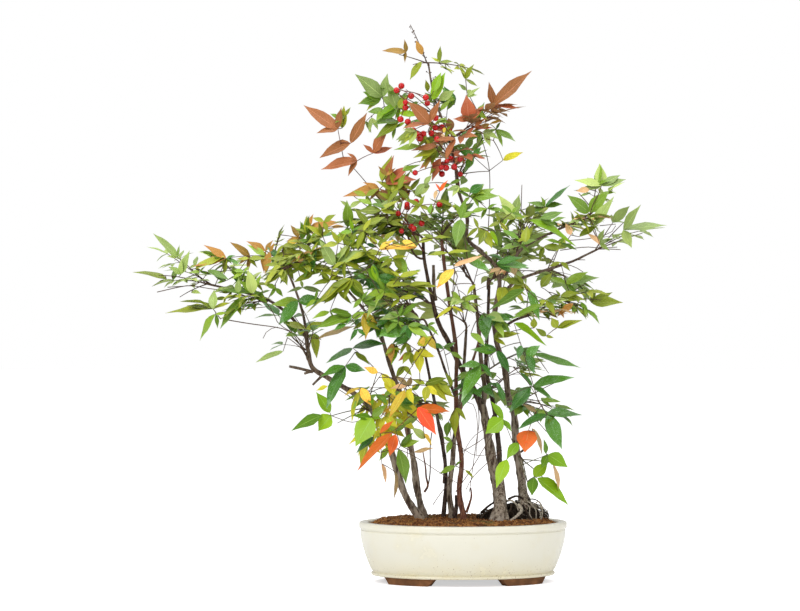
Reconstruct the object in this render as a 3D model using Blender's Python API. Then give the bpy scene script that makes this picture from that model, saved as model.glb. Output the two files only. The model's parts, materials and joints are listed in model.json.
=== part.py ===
"""Heavenly bamboo (nandina) bonsai of several stems in an oval glazed pot.

Every place below is in millimetres, measured from the middle of the pot's footprint:
X to the right, Y to the back, Z up from the ground. The finished plant is then moved
so that the origin lies under the middle of its bounding box, and written in metres.
"""
import math
import random
from collections import namedtuple

import bmesh
import bpy
from mathutils import Matrix, Vector
from mathutils.bvhtree import BVHTree

MM = 0.001
UP = Vector((0.0, 0.0, 1.0))

# Clearances
GAP = 0.3
TWIG_CLEARANCE = 0.5
LEAF_CLEARANCE = 0.6

# Pot
POT_LENGTH = 260.0
POT_DEPTH = 198.0
POT_HEIGHT = 75.0
POT_TURN = math.radians(3.5)
POT_SIDES = 32
LIP_HEIGHT = 9.0
LIP_ROUND = 1.2
LIP_OVERHANG = 1.5
RIM_LAND = 10.6
WALL_TUCK = 15.1
WALL_CURVE = 1.6
WALL_THICKNESS = 8.0
BEAD_HEIGHT = 3.6
BEAD_PROUD = 1.6
FLOOR_THICKNESS = 9.0
FOOT_HEIGHT = 9.0
FOOT_INSET = 19.5
FOOT_WIDTH = 15.0
FOOT_FROM = math.radians(24.0)
FOOT_TO = math.radians(68.0)
FOOT_SLANT = math.radians(5.0)
FOOT_STEPS = 5
FLOOR_ROUND = 8.0

# Soil
SOIL_LEVEL = 79.0
SOIL_EDGE = 70.0
SOIL_SHOULDER = 74.5
PLATEAU_INSET = 27.0
SHOULDER_INSET = 19.6
SOIL_BUMP = 1.2

# Old roots on the soil
MOUND_SIZE = (44.0, 30.0, 22.0)
MOUND_PLACE = (62.0, 2.0)
MOUND_SINK = 1.0

# Limbs
RING_SPACING = 25.0
FLARE_LENGTH = 11.0
KNOBBLE = 0.07
CUTTER_FOOT = 4.0
STUMP_PATH = [(-11.0, 9.0, 79.3), (-8.0, 4.0, 94.0), (-8.5, 2.0, 107.0)]
STUMP_RADII = [3.0, 2.6, 2.3]
STUMP_SIDES = 6

# Foliage
FOLIAGE_SEED = 500
STEM = -1
TWIG_SIDES = 3
SHORTER = 0.72
STEM_RADIUS = 1.5
RACHIS_RADIUS = 1.15
TWIG_END_RADIUS = 0.8
HUB_SHARE = 0.16
STEM_SWEEP = 6.0
STEM_STEPS = 3
SPRAY_SPACING = 0.42
LEAF_GROWTH = 1.4
LEAFLET_SHARE = 0.6
LEAF_WIDTH = 0.36
LEAF_THICKNESS = 1.2
LEAF_WIDEST = 0.44
LEAF_SINK = 0.35
LATERAL_BACK = 3.0
ROOT_FREE = 0.06
TERMINAL_SINK = 0.8
LATERAL_ANGLE = math.radians(57.0)
PAIR_ANGLE = math.radians(62.0)
PAIR_SHARE = 0.5
LEAF_SAG = 0.11
TIP_SAG = 0.15
LEAN_UP = 0.62
LEAN_OUT = 0.75
LEAN_SPREAD = 0.35
REACH_LOW = Vector((-413.0, -206.0, 84.0))
REACH_HIGH = Vector((260.0, 206.0, 696.0))

# Fruit
BERRY_RADIUS = 4.1
BERRY_COUNT = 11
PANICLE_SPREAD = 26.0
PANICLE_START = 0.28
PANICLE_STEPS = 7
PANICLE_SWEEP = 18.0
PANICLE_RISE = 8.0
PANICLE_TAPER = 0.45
STALK_LEAN = 0.6
STALK_RADIUS = 0.95
GOLDEN_ANGLE = math.radians(137.5)

COLOURS = {
    "glaze": (0.80, 0.76, 0.64), "soil": (0.16, 0.07, 0.035), "root": (0.10, 0.07, 0.05),
    "bark": (0.24, 0.18, 0.14), "red_bark": (0.27, 0.12, 0.07), "dark_bark": (0.10, 0.06, 0.045),
    "green": (0.10, 0.25, 0.045), "dark": (0.035, 0.16, 0.055), "olive": (0.17, 0.24, 0.06),
    "pale": (0.24, 0.38, 0.12), "lime": (0.20, 0.42, 0.05), "bronze": (0.30, 0.10, 0.05),
    "autumn": (0.62, 0.42, 0.08), "scarlet": (0.80, 0.09, 0.03), "berry": (0.65, 0.01, 0.01),
}

Limb = namedtuple("Limb", "name finish sides base tip flare points")
Mass = namedtuple("Mass", "name limb share leaflet tint aims bare", defaults=(0,))

# Broad sides that a mass turns to one way, where it isn't up and outward
FACING = {"foliage_bronze_spray": Vector((0.1, -1.0, 0.3))}

# Stems rise from the soil, and each bough starts inside the limb that carries it
LIMBS = [
    Limb("stem_left", "bark", 7, 4.6, 2.4, 0.35, [
        (-54, -10, 79), (-73, -12, 110), (-86, -14, 151), (-101, -16, 194), (-127, -18, 228),
        (-166, -20, 253), (-187, -20, 267), (-193, -20, 289), (-196, -20, 316)]),
    Limb("stem_left_upright", "bark", 7, 4.3, 2.0, 0.35, [
        (-49, 10, 79), (-57, 8, 113), (-62, 6, 151), (-70, 4, 192), (-77, 2, 231),
        (-89, -2, 263), (-106, -8, 322)]),
    Limb("stem_thin", "dark_bark", 6, 2.7, 1.5, 0.25, [
        (-24, 20, 79), (-21, 22, 136), (-31, 34, 200), (-43, 56, 263), (-56, 74, 328)]),
    Limb("stem_grey", "bark", 7, 3.6, 1.6, 0.3, [
        (-13, 12, 79), (-17, 16, 113), (-13, 20, 144), (-10, 32, 178), (0, 58, 240), (6, 84, 313)]),
    Limb("stem_red", "red_bark", 6, 3.3, 2.0, 0.25, [
        (1, -14, 79), (-5, -14, 113), (-2, -15, 151), (-8, -16, 196), (-9, -17, 245),
        (-9, -18, 289), (-17, -20, 345), (-24, -21, 397), (-27, -22, 425)]),
    Limb("bough_red_right", "red_bark", 5, 1.9, 1.2, 0.0, [
        (-8, -16, 205), (2, -24, 231), (8, -30, 264), (19, -34, 302), (21, -38, 329)]),
    Limb("bough_red_left", "dark_bark", 5, 1.8, 1.2, 0.0, [
        (-9, -17, 229), (-22, -26, 262), (-33, -34, 293), (-47, -44, 324)]),
    Limb("trunk", "bark", 8, 8.0, 4.6, 0.3, [
        (48, 0, 79), (44, 0, 116), (35, 0, 156), (28, 0, 201), (24, 0, 221)]),
    Limb("bough_trunk_left", "bark", 7, 4.0, 1.9, 0.0, [
        (26, 0, 210), (14, 4, 239), (-1, 10, 264), (-16, 14, 295), (-31, 12, 324),
        (-40, 8, 360), (-48, 4, 399), (-50, 2, 426)]),
    Limb("bough_trunk_right", "bark", 7, 3.4, 1.7, 0.0, [
        (25, 1, 213), (27, 9, 242), (23, 18, 276), (20, 32, 320), (15, 48, 367)]),
    Limb("stem_dark", "dark_bark", 7, 3.6, 2.0, 0.0, [
        (44, 2, 118), (46, 20, 156), (43, 27, 190), (38, 31, 225), (30, 36, 265),
        (32, 42, 317), (34, 48, 369)]),
    Limb("stem_right", "bark", 7, 5.6, 2.3, 0.35, [
        (76, 25, 79), (74, 24, 125), (67, 22, 166), (65, 20, 203), (58, 18, 228), (53, 16, 262),
        (42, 12, 301), (40, 8, 336), (46, 6, 371), (39, 6, 396), (19, 6, 414)]),
    Limb("bough_apex", "bark", 5, 2.2, 1.1, 0.0, [
        (25, 6, 411), (6, 6, 428), (5, 4, 456), (-6, 2, 489), (-10, 0, 520), (-20, 0, 561),
        (-36, -2, 604), (-43, -2, 644)]),
    Limb("bough_right_upper", "bark", 5, 2.1, 1.2, 0.0, [
        (45, 6, 374), (60, -4, 394), (72, -14, 414), (101, -20, 431), (139, -24, 448),
        (157, -26, 458)]),
    Limb("bough_right", "bark", 5, 2.3, 1.3, 0.0, [
        (42, 8, 350), (66, 16, 374), (98, 28, 387), (136, 40, 399), (164, 46, 412)]),
    Limb("bough_right_low", "dark_bark", 5, 2.0, 1.2, 0.0, [
        (41, 11, 307), (61, 2, 324), (90, -10, 336), (115, -22, 351)]),
    Limb("bough_left_far", "dark_bark", 5, 2.2, 1.2, 0.0, [
        (-195, -20, 305), (-214, -24, 330), (-240, -28, 350), (-270, -30, 360), (-308, -30, 369)]),
    Limb("bough_left_up", "bark", 5, 2.0, 1.2, 0.0, [
        (-193, -20, 288), (-200, -6, 335), (-217, 8, 381), (-235, 18, 404)]),
    Limb("bough_left_mid", "bark", 5, 1.9, 1.2, 0.0, [
        (-101, -7, 300), (-124, -26, 340), (-157, -44, 376), (-187, -56, 398)]),
]

# Each mass of foliage springs from a share of its limb's length and reaches for its aims.
# The first aims of a mass, as many as its last value says, are bare twigs.
MASSES = [
    Mass("foliage_apex", "bough_apex", 1.0, 24, "olive", [
        (-66, -4, 695), (-102, -10, 664), (-74, -24, 642), (28, 8, 634)], 1),
    Mass("foliage_crown_right", "bough_apex", 0.62, 44, "bronze", [
        (86, -6, 635), (77, 22, 595), (65, -24, 545)]),
    Mass("foliage_crown_front", "bough_apex", 0.5, 42, "bronze", [
        (-49, -60, 541), (27, -62, 526), (-20, -64, 582)]),
    Mass("foliage_crown_left", "bough_apex", 0.74, 40, "lime", [
        (-136, -8, 597), (-93, 14, 634), (-79, -36, 565), (-38, 30, 619)]),
    Mass("foliage_bronze_spray", "bough_trunk_left", 0.9, 46, "bronze", [
        (-200, -14, 592), (-184, -26, 520), (-118, 10, 585)]),
    Mass("foliage_crown_back", "bough_apex", 0.42, 40, "green", [
        (26, 64, 555), (-40, 84, 571), (61, 60, 509)]),
    Mass("foliage_berries", "bough_apex", 0.52, 0, "berry", [(-76, -20, 610)]),
    Mass("foliage_top_left", "bough_trunk_left", 1.0, 40, "olive", [
        (-152, -24, 468), (-165, -62, 447), (-114, 34, 493)]),
    Mass("foliage_top_centre", "stem_red", 1.0, 36, "green", [
        (-22, -30, 495), (-73, -74, 467), (14, -80, 473)]),
    Mass("foliage_top_right", "bough_right_upper", 0.3, 40, "olive", [
        (75, -4, 534), (68, -40, 487), (117, 14, 482)]),
    Mass("foliage_mid_left", "bough_trunk_left", 0.66, 40, "green", [
        (-179, -92, 405), (-154, -86, 356), (-93, -120, 433)]),
    Mass("foliage_mid_centre", "stem_red", 0.74, 40, "green", [
        (-50, -122, 368), (-4, -140, 404), (-30, -96, 329)]),
    Mass("foliage_mid_right", "bough_right_upper", 0.14, 42, "green", [
        (91, -104, 390), (49, -134, 418), (43, -92, 345)]),
    Mass("foliage_front_left", "bough_red_left", 1.0, 42, "dark", [
        (-137, -122, 332), (-74, -146, 298), (-169, -80, 307)]),
    Mass("foliage_front_right", "bough_red_right", 1.0, 42, "green", [
        (49, -118, 310), (0, -150, 291), (-17, -160, 351)]),
    Mass("foliage_back_left", "stem_thin", 1.0, 42, "green", [
        (-136, 142, 388), (-84, 172, 433), (-143, 120, 328)]),
    Mass("foliage_back_centre", "stem_grey", 1.0, 42, "olive", [
        (-10, 200, 389), (34, 186, 425), (-53, 176, 331)]),
    Mass("foliage_back_right", "stem_dark", 1.0, 42, "green", [
        (113, 128, 447), (58, 128, 478), (124, 150, 383)]),
    Mass("foliage_inner", "bough_trunk_right", 1.0, 40, "green", [
        (-17, 110, 452), (-79, 90, 467)]),
    Mass("foliage_left_far", "bough_left_far", 1.0, 36, "pale", [
        (-412, -34, 388), (-386, -20, 431), (-372, -50, 338)]),
    Mass("foliage_left_near", "bough_left_far", 0.5, 36, "olive", [
        (-331, -2, 419), (-329, -66, 314), (-278, -92, 346)]),
    Mass("foliage_left_up", "bough_left_up", 1.0, 36, "bronze", [
        (-275, 30, 427), (-224, 4, 449), (-289, 84, 392), (-212, 104, 416)]),
    Mass("foliage_left_mid", "bough_left_mid", 1.0, 38, "olive", [
        (-195, -44, 459), (-246, -112, 370), (-204, -128, 404)]),
    Mass("foliage_left_low", "stem_left", 0.86, 42, "dark", [
        (-232, -50, 317), (-179, -96, 329), (-254, 60, 351)]),
    Mass("foliage_right_far", "bough_right", 1.0, 44, "pale", [
        (259, 28, 447), (227, 52, 473), (220, 78, 415)]),
    Mass("foliage_right_top", "bough_right_upper", 1.0, 34, "olive", [
        (201, -30, 501), (172, -14, 522), (131, -54, 495)]),
    Mass("foliage_right_mid", "bough_right_upper", 0.62, 38, "pale", [
        (186, -66, 457), (142, -100, 417), (103, -60, 457)]),
    Mass("foliage_right_low", "bough_right_low", 1.0, 38, "olive", [
        (199, -26, 351), (173, -4, 384), (155, -62, 329)]),
    Mass("foliage_right_low_inner", "bough_right_low", 0.5, 40, "green", [
        (137, -76, 322), (91, -110, 310), (78, -128, 378)]),
    Mass("foliage_right_back", "bough_right", 0.55, 40, "green", [
        (185, 118, 401), (134, 92, 433), (168, 108, 351)]),
    Mass("foliage_lower_left", "stem_left", 0.52, 42, "dark", [
        (-175, -44, 255), (-215, -34, 193), (-177, -60, 189), (-98, -60, 292)]),
    Mass("foliage_autumn_left", "stem_left_upright", 0.72, 38, "autumn", [
        (-139, -70, 219), (-129, -56, 144), (-94, -44, 159)]),
    Mass("foliage_scarlet", "stem_left_upright", 0.56, 40, "scarlet", [
        (-18, -44, 217), (-37, -56, 184), (-69, -40, 121)]),
    Mass("foliage_lower_right", "stem_right", 0.42, 46, "dark", [
        (144, -44, 266), (151, -30, 211), (123, -66, 167), (107, -90, 227)]),
    Mass("foliage_lower_right_bright", "stem_right", 0.22, 36, "lime", [
        (132, -44, 99), (130, -14, 147), (82, -60, 110)]),
    Mass("foliage_lower_centre", "bough_trunk_right", 0.3, 42, "dark", [
        (-3, -64, 223), (35, -84, 256), (100, -50, 294)]),
    Mass("foliage_lower_back_left", "stem_thin", 0.55, 42, "green", [
        (-112, 104, 249), (-68, 116, 192)]),
    Mass("foliage_lower_back_right", "stem_dark", 0.5, 42, "green", [
        (109, 108, 279), (66, 118, 210)]),
]


def clear_scene():
    """Start from an empty scene."""
    for item in list(bpy.data.objects):
        bpy.data.objects.remove(item, do_unlink=True)


def finish_material(name, colour, roughness):
    """One Principled material."""
    material = bpy.data.materials.new(name)
    material.use_nodes = True
    shader = material.node_tree.nodes["Principled BSDF"]
    shader.inputs["Base Color"].default_value = (*colour, 1.0)
    shader.inputs["Roughness"].default_value = roughness
    shader.inputs["Metallic"].default_value = 0.0
    return material


def object_from(bm, name, collection=None):
    """Turn a bmesh, built in millimetres, into an object in metres."""
    bmesh.ops.recalc_face_normals(bm, faces=bm.faces)
    bmesh.ops.scale(bm, vec=(MM, MM, MM), verts=bm.verts)
    mesh = bpy.data.meshes.new(name)
    bm.to_mesh(mesh)
    bm.free()
    item = bpy.data.objects.new(name, mesh)
    (collection or bpy.context.scene.collection).objects.link(item)
    return item


def give_material(item, tint, roughness):
    """The object's own material."""
    item.data.materials.clear()
    item.data.materials.append(finish_material(f"{item.name}_finish", COLOURS[tint], roughness))


def tree_of(item):
    """Search tree over an object's faces, in metres."""
    bm = bmesh.new()
    bm.from_mesh(item.data)
    tree = BVHTree.FromBMesh(bm)
    bm.free()
    return tree


def keep_largest(mesh):
    """Drop loose scraps, so that one connected body stays."""
    bm = bmesh.new()
    bm.from_mesh(mesh)
    waiting = set(bm.verts)
    bodies = []
    while waiting:
        front = [waiting.pop()]
        body = set(front)
        while front:
            vertex = front.pop()
            for edge in vertex.link_edges:
                other = edge.other_vert(vertex)
                if other in waiting:
                    waiting.discard(other)
                    body.add(other)
                    front.append(other)
        bodies.append(body)
    bodies.sort(key=len)
    for scrap in bodies[:-1]:
        bmesh.ops.delete(bm, geom=list(scrap), context="VERTS")
    bm.to_mesh(mesh)
    bm.free()


def apply_boolean(item, operation, operand=None, collection=None):
    """Cut or join with one object or a collection, and keep the result as the mesh."""
    modifier = item.modifiers.new(operation.lower(), "BOOLEAN")
    modifier.operation = operation
    modifier.solver = "EXACT"
    if collection is None:
        modifier.object = operand
    else:
        modifier.operand_type = "COLLECTION"
        modifier.collection = collection
    bpy.context.view_layer.update()
    graph = bpy.context.evaluated_depsgraph_get()
    mesh = bpy.data.meshes.new_from_object(item.evaluated_get(graph))
    item.modifiers.clear()
    old = item.data
    item.data = mesh
    mesh.name = item.name
    bpy.data.meshes.remove(old)


def remove_object(item):
    """Remove a helper with its mesh."""
    mesh = item.data
    bpy.data.objects.remove(item, do_unlink=True)
    bpy.data.meshes.remove(mesh)


def smooth_path(points, spacing):
    """Points at an even spacing on a smooth curve through the given points."""
    points = [Vector(p) for p in points]
    ends = [points[0] * 2 - points[1]] + points + [points[-1] * 2 - points[-2]]
    fine = []
    steps = 12
    for before, start, end, after in zip(ends, ends[1:], ends[2:], ends[3:]):
        for step in range(steps):
            t = step / steps
            fine.append(0.5 * (
                2 * start + (end - before) * t
                + (2 * before - 5 * start + 4 * end - after) * t ** 2
                + (3 * start - before - 3 * end + after) * t ** 3))
    fine.append(points[-1])
    return even_path(fine, spacing)


def even_path(fine, spacing):
    """Resample a fine polyline to a whole number of even steps."""
    lengths = [0.0]
    for a, b in zip(fine, fine[1:]):
        lengths.append(lengths[-1] + (b - a).length)
    count = max(2, round(lengths[-1] / spacing))
    path = []
    index = 0
    for step in range(count + 1):
        wanted = lengths[-1] * step / count
        while index < len(fine) - 2 and lengths[index + 1] < wanted:
            index += 1
        span = lengths[index + 1] - lengths[index]
        share = (wanted - lengths[index]) / span if span else 0.0
        path.append(fine[index].lerp(fine[index + 1], share))
    return path


def ring_frames(path, radii, first=None, flat_base=False, edge=None):
    """A matrix for each ring: its size, its place, and its axis along the path."""
    tangents = []
    for index in range(len(path)):
        ahead = path[min(index + 1, len(path) - 1)]
        behind = path[max(index - 1, 0)]
        tangents.append((ahead - behind).normalized())
    if first is not None:
        tangents[0] = first.normalized()
    if flat_base:
        tangents[0] = UP.copy()
    side = edge.cross(tangents[0]) if edge else tangents[0].orthogonal()
    frames = []
    for place, tangent, radius in zip(path, tangents, radii):
        side = (side - tangent * side.dot(tangent)).normalized()
        turn = Matrix((side, tangent.cross(side), tangent)).transposed().to_4x4()
        frames.append(Matrix.Translation(place) @ turn @ Matrix.Scale(radius, 4))
    return frames


def sweep(bm, frames, sides):
    """A closed tapering tube: one ring carried from frame to frame by extrusion."""
    ring = bmesh.ops.create_circle(bm, segments=sides, radius=1.0, matrix=frames[0])["verts"]
    edges = list({edge for vertex in ring for edge in vertex.link_edges})
    bmesh.ops.contextual_create(bm, geom=edges)
    for frame, following in zip(frames, frames[1:]):
        grown = bmesh.ops.extrude_edge_only(bm, edges=edges)["geom"]
        ring = [part for part in grown if isinstance(part, bmesh.types.BMVert)]
        edges = [part for part in grown if isinstance(part, bmesh.types.BMEdge)
                 and all(vertex in ring for vertex in part.verts)]
        bmesh.ops.transform(bm, matrix=following @ frame.inverted(), verts=ring)
    bmesh.ops.contextual_create(bm, geom=edges)


def tube(name, path, radii, sides, flat_base):
    """One tapering tube as an object."""
    bm = bmesh.new()
    sweep(bm, ring_frames(path, radii, flat_base=flat_base), sides)
    return object_from(bm, name)


# Pot


def oval_ring(inset, height):
    """Frame of an oval ring, set in from the rim's outline."""
    size = Matrix.Diagonal((POT_LENGTH / 2 - inset, POT_DEPTH / 2 - inset, 1.0, 1.0))
    return Matrix.Translation((0.0, 0.0, height)) @ size


def wall_inset(height):
    """How far the wall has drawn in from the rim at a height."""
    top = POT_HEIGHT - LIP_HEIGHT - 2 * LIP_ROUND
    fall = max(0.0, top - height) / (top - FOOT_HEIGHT - BEAD_HEIGHT)
    return LIP_OVERHANG + WALL_TUCK * fall ** WALL_CURVE


def lathe(profile):
    """Closed oval body: rings along a profile, joined by extrusion."""
    bm = bmesh.new()
    sweep(bm, [oval_ring(inset, height) for inset, height in profile], POT_SIDES)
    return bm


def outer_profile():
    """From the middle of the underside, out and up to the rim."""
    base = FOOT_HEIGHT
    bead = wall_inset(base + BEAD_HEIGHT)
    lip = POT_HEIGHT - LIP_HEIGHT
    profile = [
        (bead + 1.0, base),
        (bead - BEAD_PROUD, base + 0.3 * BEAD_HEIGHT),
        (bead - BEAD_PROUD, base + 0.7 * BEAD_HEIGHT),
        (bead, base + BEAD_HEIGHT),
    ]
    for share in (0.25, 0.55, 1.0):
        height = base + BEAD_HEIGHT + share * (lip - LIP_ROUND - base - BEAD_HEIGHT)
        profile.append((wall_inset(height), height))
    profile += [
        (0.0, lip),
        (0.0, POT_HEIGHT - LIP_ROUND),
        (LIP_ROUND, POT_HEIGHT),
    ]
    return profile


def inner_profile(extra):
    """From the rim's land down the inside to the floor, drawn in by an extra gap."""
    floor = FOOT_HEIGHT + FLOOR_THICKNESS
    profile = [(RIM_LAND + extra, POT_HEIGHT)]
    for height in (SOIL_EDGE, 48.0, 30.0):
        profile.append((max(RIM_LAND, wall_inset(height) + WALL_THICKNESS) + extra, height))
    profile.append((wall_inset(floor) + WALL_THICKNESS + FLOOR_ROUND + extra, floor + extra))
    return profile


def make_foot(depth_sign, side_sign):
    """A foot under the base, curved with the pot and slanted at its ends."""
    top = FOOT_HEIGHT + 1.0
    inner = FOOT_INSET + FOOT_WIDTH
    corners = (
        (FOOT_INSET, top, 0.0),
        (FOOT_INSET + 1.5, 0.0, FOOT_SLANT),
        (inner, 0.0, FOOT_SLANT),
        (inner, top, 0.0),
    )
    bm = bmesh.new()
    rows = []
    for step in range(FOOT_STEPS + 1):
        share = step / FOOT_STEPS
        row = []
        for inset, height, slant in corners:
            angle = FOOT_FROM + slant + (FOOT_TO - FOOT_FROM - 2 * slant) * share
            place = oval_ring(inset, height) @ Vector((math.cos(angle), math.sin(angle), 0.0))
            row.append(bm.verts.new((place.x * side_sign, place.y * depth_sign, place.z)))
        rows.append(row)
    for row, following in zip(rows, rows[1:]):
        for corner in range(4):
            after = (corner + 1) % 4
            bm.faces.new((row[corner], row[after], following[after], following[corner]))
    bm.faces.new(rows[0])
    bm.faces.new(rows[-1])
    return object_from(bm, "foot")


def make_pot():
    """Shell and feet in one fired body."""
    pot = object_from(lathe(outer_profile() + inner_profile(0.0)), "pot")
    for depth_sign in (-1, 1):
        for side_sign in (-1, 1):
            foot = make_foot(depth_sign, side_sign)
            apply_boolean(pot, "UNION", foot)
            remove_object(foot)
    pot.data.transform(Matrix.Rotation(POT_TURN, 4, "Z"))
    give_material(pot, "glaze", 0.3)
    return pot


def make_soil():
    """Potting soil that fills the shell and rises to a flat mound."""
    rng = random.Random(7)
    profile = [(inset, height) for inset, height in reversed(inner_profile(GAP)) if height < POT_HEIGHT]
    profile += [(SHOULDER_INSET, SOIL_SHOULDER), (PLATEAU_INSET, SOIL_LEVEL)]
    bm = lathe(profile)
    for vertex in bm.verts:
        if SOIL_EDGE < vertex.co.z < SOIL_LEVEL - 0.1:
            vertex.co.z += rng.uniform(-SOIL_BUMP, SOIL_BUMP)
    soil = object_from(bm, "soil")
    soil.data.transform(Matrix.Rotation(POT_TURN, 4, "Z"))
    give_material(soil, "soil", 0.95)
    return soil


def make_root_mound(stems):
    """Lump of old roots at the foot of the right stems, lying on the soil round them."""
    rng = random.Random(19)
    bm = bmesh.new()
    bmesh.ops.create_icosphere(bm, subdivisions=2, radius=1.0)
    for vertex in bm.verts:
        vertex.co *= rng.uniform(0.84, 1.08)
    bmesh.ops.scale(bm, vec=MOUND_SIZE, verts=bm.verts)
    bmesh.ops.translate(bm, vec=(*MOUND_PLACE, SOIL_LEVEL - MOUND_SINK), verts=bm.verts)
    cut = bmesh.ops.bisect_plane(
        bm, geom=bm.verts[:] + bm.edges[:] + bm.faces[:], plane_co=(0.0, 0.0, SOIL_LEVEL + GAP),
        plane_no=(0.0, 0.0, 1.0), clear_inner=True)
    edges = [part for part in cut["geom_cut"] if isinstance(part, bmesh.types.BMEdge)]
    bmesh.ops.contextual_create(bm, geom=edges)
    mound = object_from(bm, "root_mound")
    for limb in stems:
        cutter = limb.swollen(2 * GAP)
        apply_boolean(mound, "DIFFERENCE", cutter)
        remove_object(cutter)
    keep_largest(mound.data)
    give_material(mound, "root", 0.9)
    return mound


# Limbs


class GrownLimb:
    """A stem or bough: its path, its radii and its solid."""

    def __init__(self, limb, seed):
        rng = random.Random(seed)
        self.sides = limb.sides
        self.rooted = limb.points[0][2] <= SOIL_LEVEL
        self.path = smooth_path(limb.points, RING_SPACING)
        if self.rooted:
            self.path[0].z = SOIL_LEVEL + GAP
        length = sum((b - a).length for a, b in zip(self.path, self.path[1:]))
        self.radii = []
        run = 0.0
        for index, place in enumerate(self.path):
            share = run / length
            flare = 1.0 + limb.flare * math.exp(-run / FLARE_LENGTH)
            knob = 1.0 + rng.uniform(-KNOBBLE, KNOBBLE)
            self.radii.append((limb.base + (limb.tip - limb.base) * share ** 0.85) * flare * knob)
            if index < len(self.path) - 1:
                run += (self.path[index + 1] - place).length
        self.radii[-1] = limb.tip
        self.item = tube(limb.name, self.path, self.radii, self.sides, self.rooted)

    def swollen(self, extra):
        """The same limb with a clearance all round, as a cutter."""
        frames = ring_frames(self.path, [radius + extra for radius in self.radii], flat_base=self.rooted)
        ahead = (self.path[-1] - self.path[-2]).normalized()
        frames.append(Matrix.Translation(ahead * extra) @ frames[-1])
        if self.rooted:
            frames.insert(0, Matrix.Translation(UP * -CUTTER_FOOT) @ frames[0])
        bm = bmesh.new()
        sweep(bm, frames, self.sides)
        cutter = object_from(bm, "cutter")
        cutter.hide_render = True
        cutter.display_type = "WIRE"
        return cutter


def make_limbs():
    """Every stem and bough, each cut clear of those made before it."""
    grown = {}
    for number, limb in enumerate(LIMBS):
        new = GrownLimb(limb, 100 + number)
        for other in grown.values():
            cutter = other.swollen(GAP)
            if tree_of(cutter).overlap(tree_of(new.item)):
                apply_boolean(new.item, "DIFFERENCE", cutter)
                keep_largest(new.item.data)
            remove_object(cutter)
        give_material(new.item, limb.finish, 0.85)
        new.tree = tree_of(new.item)
        grown[limb.name] = new
    return grown


def add_stump(limb):
    """The dark cut stub that shares the grey stem's foot."""
    stub = tube("stub", [Vector(place) for place in STUMP_PATH], STUMP_RADII, STUMP_SIDES, True)
    apply_boolean(limb.item, "UNION", stub)
    remove_object(stub)
    give_material(limb.item, "bark", 0.85)
    limb.tree = tree_of(limb.item)


# Foliage


def bezier(start, control, end, steps):
    """Points on a quadratic curve."""
    return [
        start.lerp(control, i / steps).lerp(control.lerp(end, i / steps), i / steps)
        for i in range(steps + 1)]


def outward(place):
    """Level direction away from the plant's middle line."""
    flat = Vector((place.x + 40.0, place.y * 1.6, 0.0))
    return flat.normalized() if flat.length > 1.0 else Vector((0.0, -1.0, 0.0))


def turned(vector, axis, angle):
    """A vector turned about an axis."""
    return Matrix.Rotation(angle, 3, axis) @ vector


class Piece:
    """Part of a mass, with a swollen shape that tests it for clearance."""

    def __init__(self, owner, spray, swollen):
        self.owner = owner
        self.spray = spray
        bmesh.ops.scale(swollen, vec=(MM, MM, MM), verts=swollen.verts)
        self.tree = BVHTree.FromBMesh(swollen)
        self.low = [min(v.co[axis] for v in swollen.verts) for axis in range(3)]
        self.high = [max(v.co[axis] for v in swollen.verts) for axis in range(3)]
        swollen.free()

    def touches(self, others):
        """Whether this piece's shape cuts one of the others."""
        return any(self.box_meets(other) and self.tree.overlap(other.tree) for other in others)

    def box_meets(self, other):
        """Whether the two bounding boxes touch."""
        return all(self.low[a] <= other.high[a] and other.low[a] <= self.high[a] for a in range(3))


class Twig(Piece):
    """A thin tapering twig of three sides."""

    def __init__(self, path, start_radius, end_radius, owner, spray, first=None, edge=None):
        steps = len(path) - 1
        radii = [start_radius + (end_radius - start_radius) * i / steps for i in range(steps + 1)]
        self.frames = ring_frames(path, radii, first, edge=edge)
        self.path = path
        swollen = bmesh.new()
        wide = [radius + TWIG_CLEARANCE for radius in radii]
        sweep(swollen, ring_frames(path, wide, first, edge=edge), TWIG_SIDES)
        super().__init__(owner, spray, swollen)

    def build(self, collection):
        """The twig's solid."""
        bm = bmesh.new()
        sweep(bm, self.frames, TWIG_SIDES)
        return object_from(bm, "twig", collection)


class Berry(Piece):
    """A low round fruit."""

    def __init__(self, place, owner, spray):
        self.place = place
        super().__init__(owner, spray, self.shape(BERRY_RADIUS + LEAF_CLEARANCE))

    def shape(self, radius):
        """A ball of twenty faces."""
        bm = bmesh.new()
        middle = Matrix.Translation(self.place)
        bmesh.ops.create_icosphere(bm, subdivisions=1, radius=radius, matrix=middle)
        return bm

    def build(self, collection):
        """The berry's solid."""
        return object_from(self.shape(BERRY_RADIUS), "berry", collection)


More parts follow.
